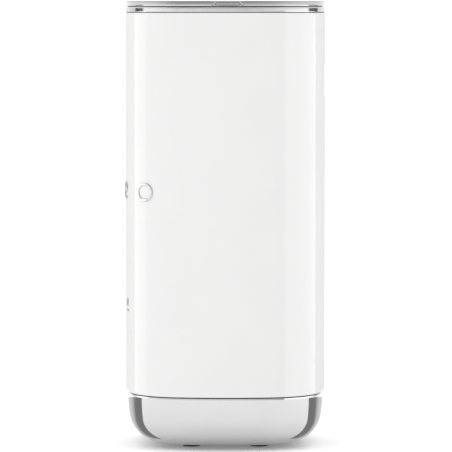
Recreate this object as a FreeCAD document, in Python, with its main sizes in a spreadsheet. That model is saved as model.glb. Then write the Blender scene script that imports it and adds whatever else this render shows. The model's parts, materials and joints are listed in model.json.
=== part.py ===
import FreeCAD
import Part
import Sketcher
import math
import os
import re

# Free-standing sous vide circulator: a rounded-square tower that stands in the pot on four feet.
# Frame: millimetres, origin on the floor under the middle of the base, +Z up, front towards -Y.
# Below the seam is the wet side (dome, pump, heater), above it the dry side (motor, boards, keys).

Vector = FreeCAD.Vector
Rotation = FreeCAD.Rotation
DOC = FreeCAD.newDocument("circulator")

SIZES = {
    # plan of the tower: four wide arcs joined by four corner arcs
    "body_width": 110,
    "face_radius": 133,
    "corner_radius": 33,
    # polished base dome
    "foot_height": 1.5,
    "dome_height": 27.9,
    "dome_step": 1.1,
    "dome_wall": 1.2,
    "dome_side_radius": 90,
    "dome_turn_radius": 16,
    "dome_belly_radius": 100,
    "dome_flat_inset": 30.3,
    # seam, sleeve, top ring and cap
    "seam_gap": 0.6,
    "seam_recess": 0.7,
    "sleeve_height": 207.5,
    "sleeve_wall": 2.5,
    "sleeve_edge": 0.6,
    "ring_gap": 0.3,
    "ring_height": 3.0,
    "ring_width": 5.0,
    "ring_edge": 0.3,
    "groove_gap": 0.3,
    "groove_depth": 1.5,
    "cap_height": 2.8,
    "cap_width": 4.0,
    "cap_edge": 0.8,
    "ledge_width": 5.0,
    "glass_thickness": 1.0,
    "glass_drop": 0.2,
    # clearances
    "fit_gap": 0.1,
    "slide_gap": 0.3,
    "shaft_gap": 0.03,
    # bulkhead between the wet and the dry side
    "barrier_drop": 5.0,
    "barrier_floor": 3.0,
    "barrier_rise": 8.0,
    "barrier_wall": 2.0,
    "post_diameter": 6.4,
    "post_reach": 18.5,
    "leg_diameter": 7,
    "leg_reach": 22,
    "leg_height": 16.6,
    # feet and screws
    "foot_diameter": 10,
    "screw_diameter": 2.4,
    "head_diameter": 5,
    "head_height": 1.1,
    # intake grille, turned 60 degrees to unlock
    "intake_diameter": 30,
    "intake_bore": 2.8,
    "lug_reach": 17.2,
    "lug_angle": 40,
    "lug_height": 1.1,
    # pump
    "volute_diameter": 44,
    "volute_wall": 2,
    "volute_lift": 3.0,
    "volute_floor": 1.6,
    "volute_seal": 0.8,
    "eye_diameter": 15,
    "duct_width": 18,
    "duct_height": 10,
    "duct_wall": 1.5,
    "duct_level": 13.5,
    "duct_inset": 8.5,
    "impeller_diameter": 34,
    "hub_diameter": 11,
    "blade_thickness": 1.4,
    "blade_height": 8,
    "shaft_diameter": 5,
    "seal_diameter": 14,
    # heater and sensors
    "coil_radius": 38,
    "coil_tube": 6.5,
    "coil_level": 14,
    "coil_opening": 110,
    "sensor_reach": 29,
    "probe_diameter": 4,
    "electrode_diameter": 3,
    # motor
    "bracket_thickness": 2.5,
    "motor_diameter": 44,
    "motor_length": 48,
    "motor_wall": 1.5,
    "motor_plate": 2,
    "bearing_diameter": 13,
    "bearing_width": 4,
    "bearing_boss": 17,
    "stator_bore": 29,
    "stator_length": 28,
    "winding_thickness": 4.8,
    "rotor_gap": 0.5,
    # chassis and boards
    "plate_inset": 3.2,
    "plate_thickness": 3,
    "plate_drop": 12.5,
    "spine_width": 66,
    "spine_offset": 30,
    "spine_thickness": 3,
    "board_thickness": 1.6,
    "spacer_diameter": 5,
    "spacer_height": 4,
    "power_board_width": 62,
    "power_board_height": 100,
    "power_board_level": 104,
    "control_board_inset": 14,
    "control_reach": 28,
    "lug_diameter": 8,
    "lug_inset": 17.5,
    # keys and side button
    "key_diameter": 12,
    "key_spread": 22,
    "key_travel": 0.6,
    "key_flange": 15,
    "key_flange_height": 1.2,
    "key_stem": 5,
    "switch_height": 1.6,
    "return_diameter": 8,
    "return_wall": 0.7,
    "return_rib": 0.6,
    "return_gap": 0.05,
    "button_width": 16,
    "button_rim": 1.2,
    "button_edge": 0.5,
    "button_offset": 1.3,
    "notch_gap": 0.7,
    "frame_proud": 0.2,
    "button_depth": 3.6,
    "button_travel": 0.7,
    "tongue_width": 9,
    "tongue_thickness": 0.6,
    # raised rings and marks on the front
    "badge_width": 11.8,
    "badge_height": 9.8,
    "badge_line": 1.3,
    "badge_relief": 0.6,
    "badge_pitch": 30.4,
    "badge_level": 140.6,
    "mark_level": 78,
    "mark_spread": 21,
    "mark_relief": 0.25,
    "mark_width": 6.4,
    "mark_line": 1.1,
    "drop_diameter": 4.6,
    "drop_bore": 2.8,
    # mains inlet at the back
    "inlet_width": 24,
    "inlet_height": 18,
    "inlet_level": 200,
    "inlet_depth": 19,
    "inlet_recess": 0.6,
    "socket_depth": 10,
    "pin_diameter": 2.4,
    "pin_length": 13,
    "pin_spread": 8.6,
}

DERIVED = {
    "seam_level": "foot_height + dome_height",
    "dome_floor": "foot_height + dome_wall",
    "dome_flat": "body_width/2 - dome_flat_inset",
    "duct_reach": "body_width/2 - duct_inset",
    "lug_spread": "body_width/2 - lug_inset",
    "sleeve_bottom": "seam_level + seam_gap",
    "sleeve_top": "sleeve_bottom + sleeve_height",
    "ring_bottom": "sleeve_top + ring_gap",
    "ring_top": "ring_bottom + ring_height",
    "cap_bottom": "ring_top + groove_gap",
    "cap_top": "cap_bottom + cap_height",
    "glass_top": "cap_top - glass_drop",
    "glass_bottom": "glass_top - glass_thickness",
    "spigot_inset": "sleeve_wall + fit_gap",
    "barrier_bottom": "seam_level - barrier_drop",
    "barrier_top": "barrier_bottom + barrier_floor",
    "leg_top": "barrier_top + leg_height",
    "volute_bottom": "dome_floor + volute_lift",
    "volute_top": "barrier_bottom - volute_seal",
    "blade_bottom": "volute_bottom + volute_floor + 1.7",
    "blade_top": "blade_bottom + blade_height",
    "motor_bottom": "leg_top + bracket_thickness",
    "motor_top": "motor_bottom + motor_length",
    "stator_bottom": "motor_bottom + (motor_length - stator_length)/2",
    "plate_bottom": "ring_bottom - plate_drop - plate_thickness",
    "plate_top": "plate_bottom + plate_thickness",
    "control_bottom": "plate_top + spacer_height",
    "control_top": "control_bottom + board_thickness",
    "board_front": "spine_offset - spacer_height - board_thickness",
    "key_flange_top": "glass_bottom - fit_gap",
    "key_flange_bottom": "key_flange_top - key_flange_height",
    "stem_bottom": "control_top + switch_height + key_travel + 0.2",
    "button_level": "(cap_bottom + cap_top)/2",
    "button_height": "cap_height - 2*button_edge",
    "switch_face": "body_width/2 - 15",
}

SHEET = DOC.addObject("Spreadsheet::Sheet", "dims")
for row, (word, amount) in enumerate(SIZES.items(), start=1):
    SHEET.set(f"A{row}", word)
    SHEET.set(f"B{row}", str(amount))
    SHEET.setAlias(f"B{row}", word)
DOC.recompute()


def formula(text):
    """An expression over the sheet's cells, from one written with the plain words above."""
    def cell(match):
        word = match.group(0)
        if word in DERIVED:
            return "(" + formula(DERIVED[word]) + ")"
        return "dims." + word if word in SIZES else word
    return re.sub(r"[a-z][a-z_]*[a-z]", cell, str(text))


def value(text):
    return float(SHEET.evalExpression(formula(text)))


def bind(thing, **expressions):
    for field, text in expressions.items():
        thing.setExpression(field, formula(text))
    return thing


def place(thing, across="0", along="0", level="0"):
    thing.setExpression("Placement.Base.x", formula(across))
    thing.setExpression("Placement.Base.y", formula(along))
    thing.setExpression("Placement.Base.z", formula(level))
    return thing


# ---- primitives and booleans ----

TURNS = {
    "Z": Rotation(),
    "X": Rotation(Vector(0, 1, 0), 90),
    "Y": Rotation(Vector(1, 0, 0), -90),
}


def rod(name, diameter, length, across="0", along="0", level="0", axis="Z"):
    """A cylinder that starts at the given point and runs along +axis."""
    thing = DOC.addObject("Part::Cylinder", name)
    bind(thing, Radius=f"({diameter})/2", Height=length)
    thing.Placement = FreeCAD.Placement(Vector(), TURNS[axis])
    return place(thing, across, along, level)


def block(name, width, depth, height, across="0", along="0", level="0"):
    """A box centred on the given point in X and Y, standing on the given level."""
    thing = DOC.addObject("Part::Box", name)
    bind(thing, Length=width, Width=depth, Height=height)
    return place(thing, f"({across}) - ({width})/2", f"({along}) - ({depth})/2", level)


def joined(name, *pieces):
    thing = DOC.addObject("Part::MultiFuse", name)
    thing.Shapes = list(pieces)
    return thing


def carved(name, base, *tools):
    thing = DOC.addObject("Part::Cut", name)
    thing.Base = base
    thing.Tool = tools[0] if len(tools) == 1 else joined(name + "_cuts", *tools)
    return thing


def shared(name, first, second):
    thing = DOC.addObject("Part::Common", name)
    thing.Base = first
    thing.Tool = second
    return thing


def group(name, pieces):
    """Separate solids of one node."""
    thing = DOC.addObject("Part::Compound", name)
    thing.Links = list(pieces)
    return thing


def tube(name, outer, inner, length, across="0", along="0", level="0", axis="Z"):
    return carved(
        name,
        rod(name + "_outside", outer, length, across, along, level, axis),
        rod(name + "_inside", inner, length, across, along, level, axis),
    )


def corners(reach):
    """The four points at +-reach, as expression pairs."""
    return [(f"{sx}*({reach})", f"{sy}*({reach})") for sx in (1, -1) for sy in (1, -1)]


def screw(name, across, along, seat, length, down=True):
    """A pan-head screw whose head sits on the level named by seat."""
    head = f"({seat})" if down else f"({seat}) - head_height"
    shank = f"({seat}) - ({length})" if down else f"({seat})"
    return joined(
        name,
        rod(name + "_head", "head_diameter", "head_height", across, along, head),
        rod(name + "_shank", "screw_diameter", length, across, along, shank),
    )


# ---- sketches and bodies ----

def new_body(name):
    return DOC.addObject("PartDesign::Body", name)


def sketch_on(body, name, level="0", role="XY_Plane"):
    sketch = body.newObject("Sketcher::SketchObject", name)
    plane = [item for item in body.Origin.OriginFeatures if item.Role == role][0]
    sketch.AttachmentSupport = [(plane, "")]
    sketch.MapMode = "FlatFace"
    sketch.setExpression("AttachmentOffset.Base.z", formula(level))
    return sketch


def hold(sketch, name, constraint, text):
    number = sketch.addConstraint(constraint)
    sketch.renameConstraint(number, name)
    sketch.setExpression("Constraints." + name, formula(text))


def plan_turn():
    """How far the corner arcs' centres stand out, and the angle that half a face arc spans."""
    centre = value("face_radius - body_width/2")
    apart = value("face_radius - corner_radius")
    turn = (math.sqrt(2 * apart ** 2 - centre ** 2) - centre) / 2
    return turn, math.atan2(turn, turn + centre)


def draw_plan(sketch, inset="0"):
    """The rounded-square plan, moved inwards by inset: 4 face arcs and 4 corner arcs, all tangent."""
    face = value(f"face_radius - ({inset})")
    corner = value(f"corner_radius - ({inset})")
    centre = value("face_radius - body_width/2")
    turn, spread = plan_turn()
    up = Vector(0, 0, 1)
    arcs = []
    for quarter in range(4):
        angle = quarter * math.pi / 2
        across, along = math.cos(angle), math.sin(angle)
        middle = Vector(-centre * across, -centre * along, 0)
        knee = Vector(turn * (across - along), turn * (across + along), 0)
        start, end = angle + spread, angle + math.pi / 2 - spread
        arcs.append(Part.ArcOfCircle(Part.Circle(middle, up, face), angle - spread, angle + spread))
        arcs.append(Part.ArcOfCircle(Part.Circle(knee, up, corner), start, end))
    first = sketch.GeometryCount
    sketch.addGeometry(arcs, False)
    fix = Sketcher.Constraint
    for step in range(8):
        sketch.addConstraint(fix("Tangent", first + step, 2, first + (step + 1) % 8, 1))
    hold(sketch, f"face{first}", fix("Radius", first, face), f"face_radius - ({inset})")
    hold(sketch, f"corner{first}", fix("Radius", first + 1, corner), f"corner_radius - ({inset})")
    for step in (2, 4, 6):
        sketch.addConstraint(fix("Equal", first, first + step))
        sketch.addConstraint(fix("Equal", first + 1, first + step + 1))
    for quarter in range(4):
        arc = first + 2 * quarter
        kind = "DistanceY" if quarter % 2 else "DistanceX"
        axis = -2 if quarter % 2 else -1
        ends = (arc, 3, -1, 1) if quarter < 2 else (-1, 1, arc, 3)
        sketch.addConstraint(fix("PointOnObject", arc, 3, axis))
        hold(sketch, f"centre{arc}", fix(kind, *ends, centre), "face_radius - body_width/2")


def pad(body, sketch, height):
    feature = body.newObject("PartDesign::Pad", sketch.Name + "_pad")
    feature.Profile = sketch
    return bind(feature, Length=height)


def pocket_up(body, sketch, height):
    """A pocket that cuts upwards from its sketch."""
    feature = body.newObject("PartDesign::Pocket", sketch.Name + "_pocket")
    feature.Profile = sketch
    feature.Reversed = True
    return bind(feature, Length=height)


def plan_ring(name, outer, inner, bottom, height):
    """A ring that follows the plan between two insets; a whole slab where inner is None."""
    body = new_body(name)
    sketch = sketch_on(body, name + "_plan", bottom)
    draw_plan(sketch, outer)
    if inner is not None:
        draw_plan(sketch, inner)
    pad(body, sketch, height)
    return body


def inset_of(point):
    """How far inside the plan's outline a point stands."""
    turn, spread = plan_turn()
    near, far = sorted((abs(point.x), abs(point.y)))
    if math.atan2(near - turn, far - turn) > spread:
        return value("corner_radius") - math.hypot(near - turn, far - turn)
    return value("face_radius") - math.hypot(near, far + value("face_radius - body_width/2"))


def rounded(body, level, radius):
    """Round the edges on the plan's outline at one level of a body."""
    DOC.recompute()
    height = value(level)
    edge_names = []
    for number, edge in enumerate(body.Shape.Edges, start=1):
        box = edge.BoundBox
        middle = edge.valueAt((edge.FirstParameter + edge.LastParameter) / 2)
        level_gap = max(abs(box.ZMin - height), abs(box.ZMax - height))
        if level_gap < 1e-4 and abs(inset_of(middle)) < 1e-3:
            edge_names.append(f"Edge{number}")
    base = body.Tip
    feature = body.newObject("PartDesign::Fillet", f"{body.Name}_round_{level}")
    feature.Base = (base, edge_names)
    bind(feature, Radius=radius)
    return body


# ---- housing: dome, seam, sleeve, ring and cap ----

def draw_dome_profile(sketch, solid):
    """Half the dome's section in the XZ plane: a side arc, a turn arc and a belly arc, tangent in turn.

    The shell has the same three arcs again, one wall further in; the solid runs in to the flat.
    """
    side, turn, wall = value("dome_side_radius"), value("dome_turn_radius"), value("dome_wall")
    belly = value("dome_belly_radius")
    reach, flat = value("body_width/2 - dome_step"), value("dome_flat")
    top, bottom = value("seam_level"), value("foot_height")
    upper, lower = Vector(reach - side, top, 0), Vector(flat, bottom + belly, 0)
    apart = lower - upper
    first, second = side - turn, belly - turn
    along = (first ** 2 - second ** 2 + apart.Length ** 2) / (2 * apart.Length)
    off = math.sqrt(first ** 2 - along ** 2)
    direction = Vector(apart).normalize()
    knee = upper + direction * along + Vector(direction.y, -direction.x, 0) * off
    start = math.atan2(knee.y - upper.y, knee.x - upper.x)
    end = math.atan2(knee.y - lower.y, knee.x - lower.x)
    down = -math.pi / 2
    spans = [(upper, side, start, 0), (knee, turn, end, start), (lower, belly, down, end)]
    fix = Sketcher.Constraint

    def arcs(inward):
        return [
            Part.ArcOfCircle(Part.Circle(middle, Vector(0, 0, 1), radius - inward), low, high)
            for middle, radius, low, high in spans
        ]

    sketch.addGeometry(arcs(0), False)
    for number, word in enumerate(("dome_side_radius", "dome_turn_radius", "dome_belly_radius")):
        hold(sketch, f"radius{number}", fix("Radius", number, value(word)), word)
    sketch.addConstraint(fix("Tangent", 0, 1, 1, 2))
    sketch.addConstraint(fix("Tangent", 1, 1, 2, 2))
    sketch.addConstraint(fix("Horizontal", 0, 3, 0, 2))
    sketch.addConstraint(fix("Vertical", 2, 3, 2, 1))
    reach_text = "body_width/2 - dome_step"
    hold(sketch, "reach", fix("DistanceX", -1, 1, 0, 2, reach), reach_text)
    hold(sketch, "top", fix("DistanceY", -1, 1, 0, 2, top), "seam_level")
    hold(sketch, "flat", fix("DistanceX", -1, 1, 2, 1, flat), "dome_flat")
    hold(sketch, "bottom", fix("DistanceY", -1, 1, 2, 1, bottom), "foot_height")
    line = Part.LineSegment
    if solid:
        corner = Vector(flat, top, 0)
        sketch.addGeometry([line(Vector(flat, bottom, 0), corner)], False)
        sketch.addGeometry([line(corner, Vector(reach, top, 0))], False)
        sketch.addConstraint(fix("Coincident", 3, 1, 2, 1))
        sketch.addConstraint(fix("Coincident", 3, 2, 4, 1))
        sketch.addConstraint(fix("Coincident", 4, 2, 0, 2))
        sketch.addConstraint(fix("Vertical", 3))
        sketch.addConstraint(fix("Horizontal", 4))
        return
    sketch.addGeometry(arcs(wall), False)
    rim = line(Vector(reach, top, 0), Vector(reach - wall, top, 0))
    foot = line(Vector(flat, bottom, 0), Vector(flat, bottom + wall, 0))
    sketch.addGeometry([rim, foot], False)
    for number in range(3):
        sketch.addConstraint(fix("Coincident", 3 + number, 3, number, 3))
    sketch.addConstraint(fix("Tangent", 3, 1, 4, 2))
    sketch.addConstraint(fix("Tangent", 4, 1, 5, 2))
    sketch.addConstraint(fix("Coincident", 6, 1, 0, 2))
    sketch.addConstraint(fix("Coincident", 6, 2, 3, 2))
    sketch.addConstraint(fix("Coincident", 7, 1, 2, 1))
    sketch.addConstraint(fix("Coincident", 7, 2, 5, 1))
    sketch.addConstraint(fix("Horizontal", 6))
    sketch.addConstraint(fix("Vertical", 7))
    hold(sketch, "wall", fix("DistanceX", 6, 2, 6, 1, wall), "dome_wall")


def dome_body(name, solid=False):
    """The dome, swept round the plan; its flat underside is a slab inside the sweep."""
    body = new_body(name)
    spine = sketch_on(body, name + "_spine", "seam_level")
    draw_plan(spine, "dome_step")
    profile = sketch_on(body, name + "_profile", role="XZ_Plane")
    draw_dome_profile(profile, solid)
    sweep = body.newObject("PartDesign::AdditivePipe", name + "_sweep")
    sweep.Profile = profile
    sweep.Spine = (spine, [])
    sweep.Mode = "Frenet"
    middle = sketch_on(body, name + "_middle", "foot_height")
    draw_plan(middle, "dome_flat_inset")
    pad(body, middle, "dome_height" if solid else "dome_wall")
    return body


def sector(name, diameter, angle, height, turn, level):
    """A wedge of a cylinder whose middle points at the angle turn."""
    thing = DOC.addObject("Part::Cylinder", name)
    bind(thing, Radius=f"({diameter})/2", Height=height, Angle=angle)
    start = turn - value(angle) / 2
    thing.Placement = FreeCAD.Placement(Vector(), Rotation(Vector(0, 0, 1), start))
    return place(thing, level=level)


def dome_tools():
    lug_turns = (0, 120, 240)
    tools = [
        rod("intake_hole", "intake_diameter + 2*slide_gap", "3*dome_wall", level="foot_height - 1")
    ]
    tools += [
        sector(f"lug_gate{turn}", "2*(lug_reach + slide_gap)", "lug_angle + 4", "3*dome_wall",
               turn + 60, "foot_height - 1")
        for turn in lug_turns
    ]
    tools += [
        rod(f"dome_screw_hole{n}", "screw_diameter", "3*dome_wall", x, y, "foot_height - 1")
        for n, (x, y) in enumerate(corners("post_reach"))
    ]
    window = block("outlet_window", "duct_width - 2*duct_wall", "20", "duct_height - 2*duct_wall",
                   along="body_width/2", level="duct_level - duct_height/2 + duct_wall")
    return tools + [window]


base_dome = carved("base_dome", dome_body("dome_shell"), *dome_tools())

seam_gasket = plan_ring(
    "seam_gasket", "dome_step + seam_recess", "spigot_inset", "seam_level", "seam_gap")

sleeve_shell = plan_ring("sleeve_shell", "0", "sleeve_wall", "sleeve_bottom", "sleeve_height")
rounded(sleeve_shell, "sleeve_bottom", "sleeve_edge")
inlet_window = block(
    "inlet_window", "inlet_width + 2*fit_gap", "20", "inlet_height + 2*fit_gap",
    along="body_width/2", level="inlet_level - inlet_height/2 - fit_gap")
body_sleeve = carved("body_sleeve", sleeve_shell, inlet_window)

ring_gasket = plan_ring("ring_gasket", "sleeve_edge", "sleeve_wall", "sleeve_top", "ring_gap")

ring_shell = plan_ring("ring_shell", "0", "ring_width", "ring_bottom", "ring_height")
spigot_plan = sketch_on(ring_shell, "ring_spigot", "plate_top")
draw_plan(spigot_plan, "spigot_inset")
draw_plan(spigot_plan, "ring_width")
pad(ring_shell, spigot_plan, "ring_bottom - plate_top")
rounded(ring_shell, "ring_top", "ring_edge")
rounded(ring_shell, "ring_bottom", "ring_edge")
ring_lugs = [
    rod(f"ring_lug{n}", "lug_diameter", "ring_bottom - plate_top - 2", x, y, "plate_top")
    for n, (x, y) in enumerate(corners("lug_spread"))
]
ring_bores = [
    rod(f"ring_bore{n}", "screw_diameter", "8", x, y, "plate_top")
    for n, (x, y) in enumerate(corners("lug_spread"))
]
top_ring = carved("top_ring", joined("ring_with_lugs", ring_shell, *ring_lugs), *ring_bores)

groove_seal = plan_ring("groove_seal", "groove_depth", "cap_width", "ring_top", "groove_gap")


def obround(name, width, height, depth):
    """A slot-shaped prism along Z: width along X, height along Y."""
    straight = f"({width}) - ({height})"
    return joined(
        name,
        block(name + "_middle", straight, height, depth),
        rod(name + "_left", height, depth, across=f"-({straight})/2"),
        rod(name + "_right", height, depth, across=f"({straight})/2"),
    )


def facing_side(thing, start):
    """Turn an obround to face +X at the side button's place, starting at the given X."""
    turn = Rotation(Vector(0, 1, 0), Vector(0, 0, 1), Vector(1, 0, 0), "ZXY")
    thing.Placement = FreeCAD.Placement(Vector(), turn)
    return place(thing, start, "button_offset", "button_level")


cap_shell = plan_ring("cap_shell", "0", "cap_width", "cap_bottom", "cap_height")
ledge_plan = sketch_on(cap_shell, "cap_ledge", "cap_bottom")
draw_plan(ledge_plan, "cap_width/2")
draw_plan(ledge_plan, "cap_width + ledge_width")
pad(cap_shell, ledge_plan, "glass_bottom - cap_bottom")
cap_spigot = sketch_on(cap_shell, "cap_spigot", "cap_bottom - 4")
draw_plan(cap_spigot, "ring_width + fit_gap")
draw_plan(cap_spigot, "ring_width + barrier_wall")
pad(cap_shell, cap_spigot, "4")
rounded(cap_shell, "cap_top", "cap_edge")
button_notch = block("button_notch", "10", "button_width + 2*notch_gap", "cap_height + 2",
                     "body_width/2 - button_depth + 5", "button_offset", "cap_bottom - 1")
tongue_slot = block("tongue_slot", "12", "tongue_width + 1", "tongue_thickness + 1.3",
                    "body_width/2 - button_depth - 5", "button_offset",
                    "glass_bottom - tongue_thickness - 0.7")
cap_bezel = carved("cap_bezel", cap_shell, button_notch, tongue_slot)

key_places = {"minus": "-key_spread", "start": "0", "plus": "key_spread"}
glass_slab = plan_ring("glass_slab", "cap_width + fit_gap", None, "glass_bottom", "glass_thickness")
key_holes = [
    rod(f"key_hole_{word}", "key_diameter + 2*slide_gap", "3*glass_thickness", across, "-key_spread",
        "glass_bottom - glass_thickness")
    for word, across in key_places.items()
]
control_glass = carved("control_glass", glass_slab, *key_holes)

# ---- side button ----

side_frame = carved(
    "button_frame",
    facing_side(obround("frame_outside", "button_width", "cap_height", "button_depth + frame_proud"),
                "body_width/2 - button_depth"),
    facing_side(obround("frame_inside", "button_width - 2*button_rim", "button_height", "20"),
                "body_width/2 - button_depth - 1"),
)
button_cap = facing_side(
    obround("button_cap", "button_width - 2*button_rim - 2*slide_gap", "button_height - 2*fit_gap",
            "button_depth - 1.8"),
    "body_width/2 - button_depth + 1.8")
tongue_reach = "body_width/2 - button_depth + 2 - switch_face - button_travel - 0.1"
tongue = block("button_tongue", tongue_reach, "tongue_width", "tongue_thickness",
               f"switch_face + button_travel + 0.1 + ({tongue_reach})/2", "button_offset",
               "button_level - button_height/2 + fit_gap")
power_button = joined("power_button", button_cap, tongue)
power_switch = block("power_switch", "7", "10", "glass_bottom - 0.4 - control_top",
                     "switch_face - 3.5", "button_offset", "control_top")

# ---- raised rings and marks on the front ----

def on_front(thing, travel, level, sink):
    """Stand a prism on the front skin, travel mm round from the middle, sunk in by sink."""
    face, corner = value("face_radius"), value("corner_radius")
    centre = value("face_radius - body_width/2")
    turn, spread = plan_turn()
    side = math.copysign(1, travel)
    distance = abs(travel)
    if distance <= face * spread:
        angle, radius, middle = distance / face, face, Vector(0, centre, value(level))
    else:
        angle, radius = spread + (distance - face * spread) / corner, corner
        middle = Vector(side * turn, -turn, value(level))
    outward = Vector(side * math.sin(angle), -math.cos(angle), 0)
    sideways = Vector(0, 0, 1).cross(outward)
    turned = Rotation(sideways, Vector(0, 0, 1), outward, "ZXY")
    thing.Placement = FreeCAD.Placement(middle + outward * (radius - sink), turned)
    return thing


prism_depth = "4"
prism_sink = 2
badge_inside = ("badge_width - 2*badge_line", "badge_height - 2*badge_line")
badge_skin = plan_ring(
    "badge_skin", "-badge_relief", "0", "badge_level - badge_height", "2*badge_height")
badges = []
for number, steps in enumerate((-1.5, -0.5, 0.5, 1.5)):
    outline = carved(
        f"badge_prism{number}",
        obround(f"badge_outer{number}", "badge_width", "badge_height", prism_depth),
        obround(f"badge_inner{number}", *badge_inside, prism_depth))
    on_front(outline, steps * value("badge_pitch"), "badge_level", prism_sink)
    badges.append(shared(f"badge{number}", badge_skin, outline))
badge_rings = group("badge_rings", badges)

mark_skin = plan_ring(
    "mark_skin", "-mark_relief", "0", "mark_level - mark_width", "2*mark_width")
marks = []
for number, side in enumerate((-1, 1)):
    shapes = {
        "drop": tube(f"drop_prism{number}", "drop_diameter", "drop_bore", prism_depth),
        "bar": obround(f"bar_prism{number}", "mark_width", "mark_line", prism_depth),
    }
    lift = {"drop": "mark_level + 1.4", "bar": "mark_level - 3"}
    for word, prism in shapes.items():
        on_front(prism, side * value("mark_spread"), lift[word], prism_sink)
        marks.append(shared(f"mark_{word}{number}", mark_skin, prism))
level_marks = group("level_marks", marks)

# ---- underside: feet, screws, intake grille; outlet grille ----

feet = group("feet", [
    carved(f"foot{n}", rod(f"foot_pad{n}", "foot_diameter", "foot_height", x, y),
           rod(f"foot_well{n}", "head_diameter + 2*fit_gap", "head_height + fit_gap", x, y,
               "foot_height - head_height - fit_gap"))
    for n, (x, y) in enumerate(corners("post_reach"))
])
base_screws = group("base_screws", [
    joined(f"base_screw{n}",
           rod(f"base_head{n}", "head_diameter", "head_height", x, y, "foot_height - head_height"),
           rod(f"base_shank{n}", "screw_diameter", "10", x, y, "foot_height"))
    for n, (x, y) in enumerate(corners("post_reach"))
])

lug_bottom = "dome_floor + slide_gap"
grille_parts = [
    rod("grille_disc", "intake_diameter", "dome_wall - 0.2", level="foot_height + 0.2"),
    tube("grille_rim", "intake_diameter", "intake_diameter - 6", "slide_gap + lug_height",
         level="dome_floor"),
]
grille_parts += [
    carved(f"grille_lug{turn}",
           sector(f"lug_wedge{turn}", "2*lug_reach", "lug_angle", "lug_height", turn, lug_bottom),
           rod(f"lug_middle{turn}", "intake_diameter - 6", "lug_height", level=lug_bottom))
    for turn in (0, 120, 240)
]
grille_holes = [rod("grille_hole", "intake_bore", "6", level="foot_height - 1")]
for circle, (count, radius) in enumerate(((6, 5), (12, 9.5))):
    for step in range(count):
        angle = 360 / count * step
        grille_holes.append(
            rod(f"grille_hole{circle}_{step}", "intake_bore", "6", f"{radius}*cos({angle})",
                f"{radius}*sin({angle})", "foot_height - 1"))
intake_grille = carved("intake_grille", joined("grille_plate", *grille_parts), *grille_holes)

slot_count = 5
outlet_block = block("outlet_block", "duct_width - 2*duct_wall", "20", "duct_height - 2*duct_wall",
                     along="duct_reach + 4", level="duct_level - duct_height/2 + duct_wall")
outlet_slots = [
    block(f"outlet_slot{n}", "1.8", "30", "duct_height - 2*duct_wall - 2.4",
          across=f"{n - (slot_count - 1) / 2}*2.8", along="duct_reach",
          level="duct_level - duct_height/2 + duct_wall + 1.2")
    for n in range(slot_count)
]
outlet_grille = carved(
    "outlet_grille", shared("outlet_flush", dome_body("dome_solid", solid=True), outlet_block),
    *outlet_slots)

# ---- wet side: bulkhead, pump, heater, sensors ----

tub_height = "barrier_drop + seam_gap + barrier_rise"
tub = plan_ring("bulkhead_tub", "spigot_inset", None, "barrier_bottom", tub_height)
tub_inside = sketch_on(tub, "tub_inside", "barrier_top")
draw_plan(tub_inside, "spigot_inset + barrier_wall")
pocket_up(tub, tub_inside, tub_height)
posts = [
    rod(f"post{n}", "post_diameter", "barrier_bottom - dome_floor", x, y, "dome_floor")
    for n, (x, y) in enumerate(corners("post_reach"))
]
legs = [
    rod(f"leg{n}", "leg_diameter", "leg_height", x, y, "barrier_top")
    for n, (x, y) in enumerate(corners("leg_reach"))
]
terminal_angle = "90 - coil_opening/2"
terminals = [(f"{side}*coil_radius*cos({terminal_angle})", f"coil_radius*sin({terminal_angle})")
             for side in (1, -1)]
foot_screws = [(f"{side}*spine_width*0.4", "spine_offset + spine_thickness + 5") for side in (1, -1)]
bulkhead_bores = [
    rod(f"post_bore{n}", "screw_diameter", "10 - dome_wall", x, y, "dome_floor")
    for n, (x, y) in enumerate(corners("post_reach"))
]
bulkhead_bores += [
    rod(f"leg_bore{n}", "screw_diameter", "10", x, y, "leg_top - 10")
    for n, (x, y) in enumerate(corners("leg_reach"))
]
bulkhead_bores += [
    rod(f"terminal_bore{n}", "coil_tube", "30", x, y, "barrier_bottom - 10")
    for n, (x, y) in enumerate(terminals)
]
bulkhead_bores += [
    rod(f"foot_bore{n}", "screw_diameter", "2.5", x, y, "barrier_top - 2.5")
    for n, (x, y) in enumerate(foot_screws)
]
electrodes = [("sensor_reach", "5"), ("sensor_reach", "-5")]
bulkhead_bores += [
    rod(f"electrode_bore{n}", "electrode_diameter", "10", x, y, "barrier_bottom - 2")
    for n, (x, y) in enumerate(electrodes)
]
bulkhead_bores += [
    rod("probe_bore", "probe_diameter", "10", "-sensor_reach", "0", "barrier_bottom - 2"),
    rod("seal_bore", "seal_diameter", "10", level="barrier_bottom - 2"),
]
bulkhead = carved("bulkhead", joined("bulkhead_blank", tub, *posts, *legs), *bulkhead_bores)

shaft_seal = tube("shaft_seal", "seal_diameter", "shaft_diameter + 2*shaft_gap", "barrier_floor + 1",
                  level="barrier_bottom")

volute_bore = "volute_diameter - 2*volute_wall"
duct_length = "duct_reach - volute_diameter/4"
volute_blank = joined(
    "volute_blank",
    rod("volute_outside", "volute_diameter", "volute_top - volute_bottom", level="volute_bottom"),
    block("duct_outside", "duct_width", duct_length, "duct_height",
          along=f"duct_reach - ({duct_length})/2", level="duct_level - duct_height/2"))
pump_volute = carved(
    "pump_volute", volute_blank,
    rod("volute_inside", volute_bore, "30", level="volute_bottom + volute_floor"),
    rod("volute_eye", "eye_diameter", "5", level="volute_bottom - 1"),
    block("duct_inside", "duct_width - 2*duct_wall", f"{duct_length} + 2", "duct_height - 2*duct_wall",
          along=f"duct_reach - ({duct_length})/2 + 1", level="duct_level - duct_height/2 + duct_wall"))
volute_gasket = tube("volute_gasket", "volute_diameter", volute_bore, "volute_seal", level="volute_top")

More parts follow.
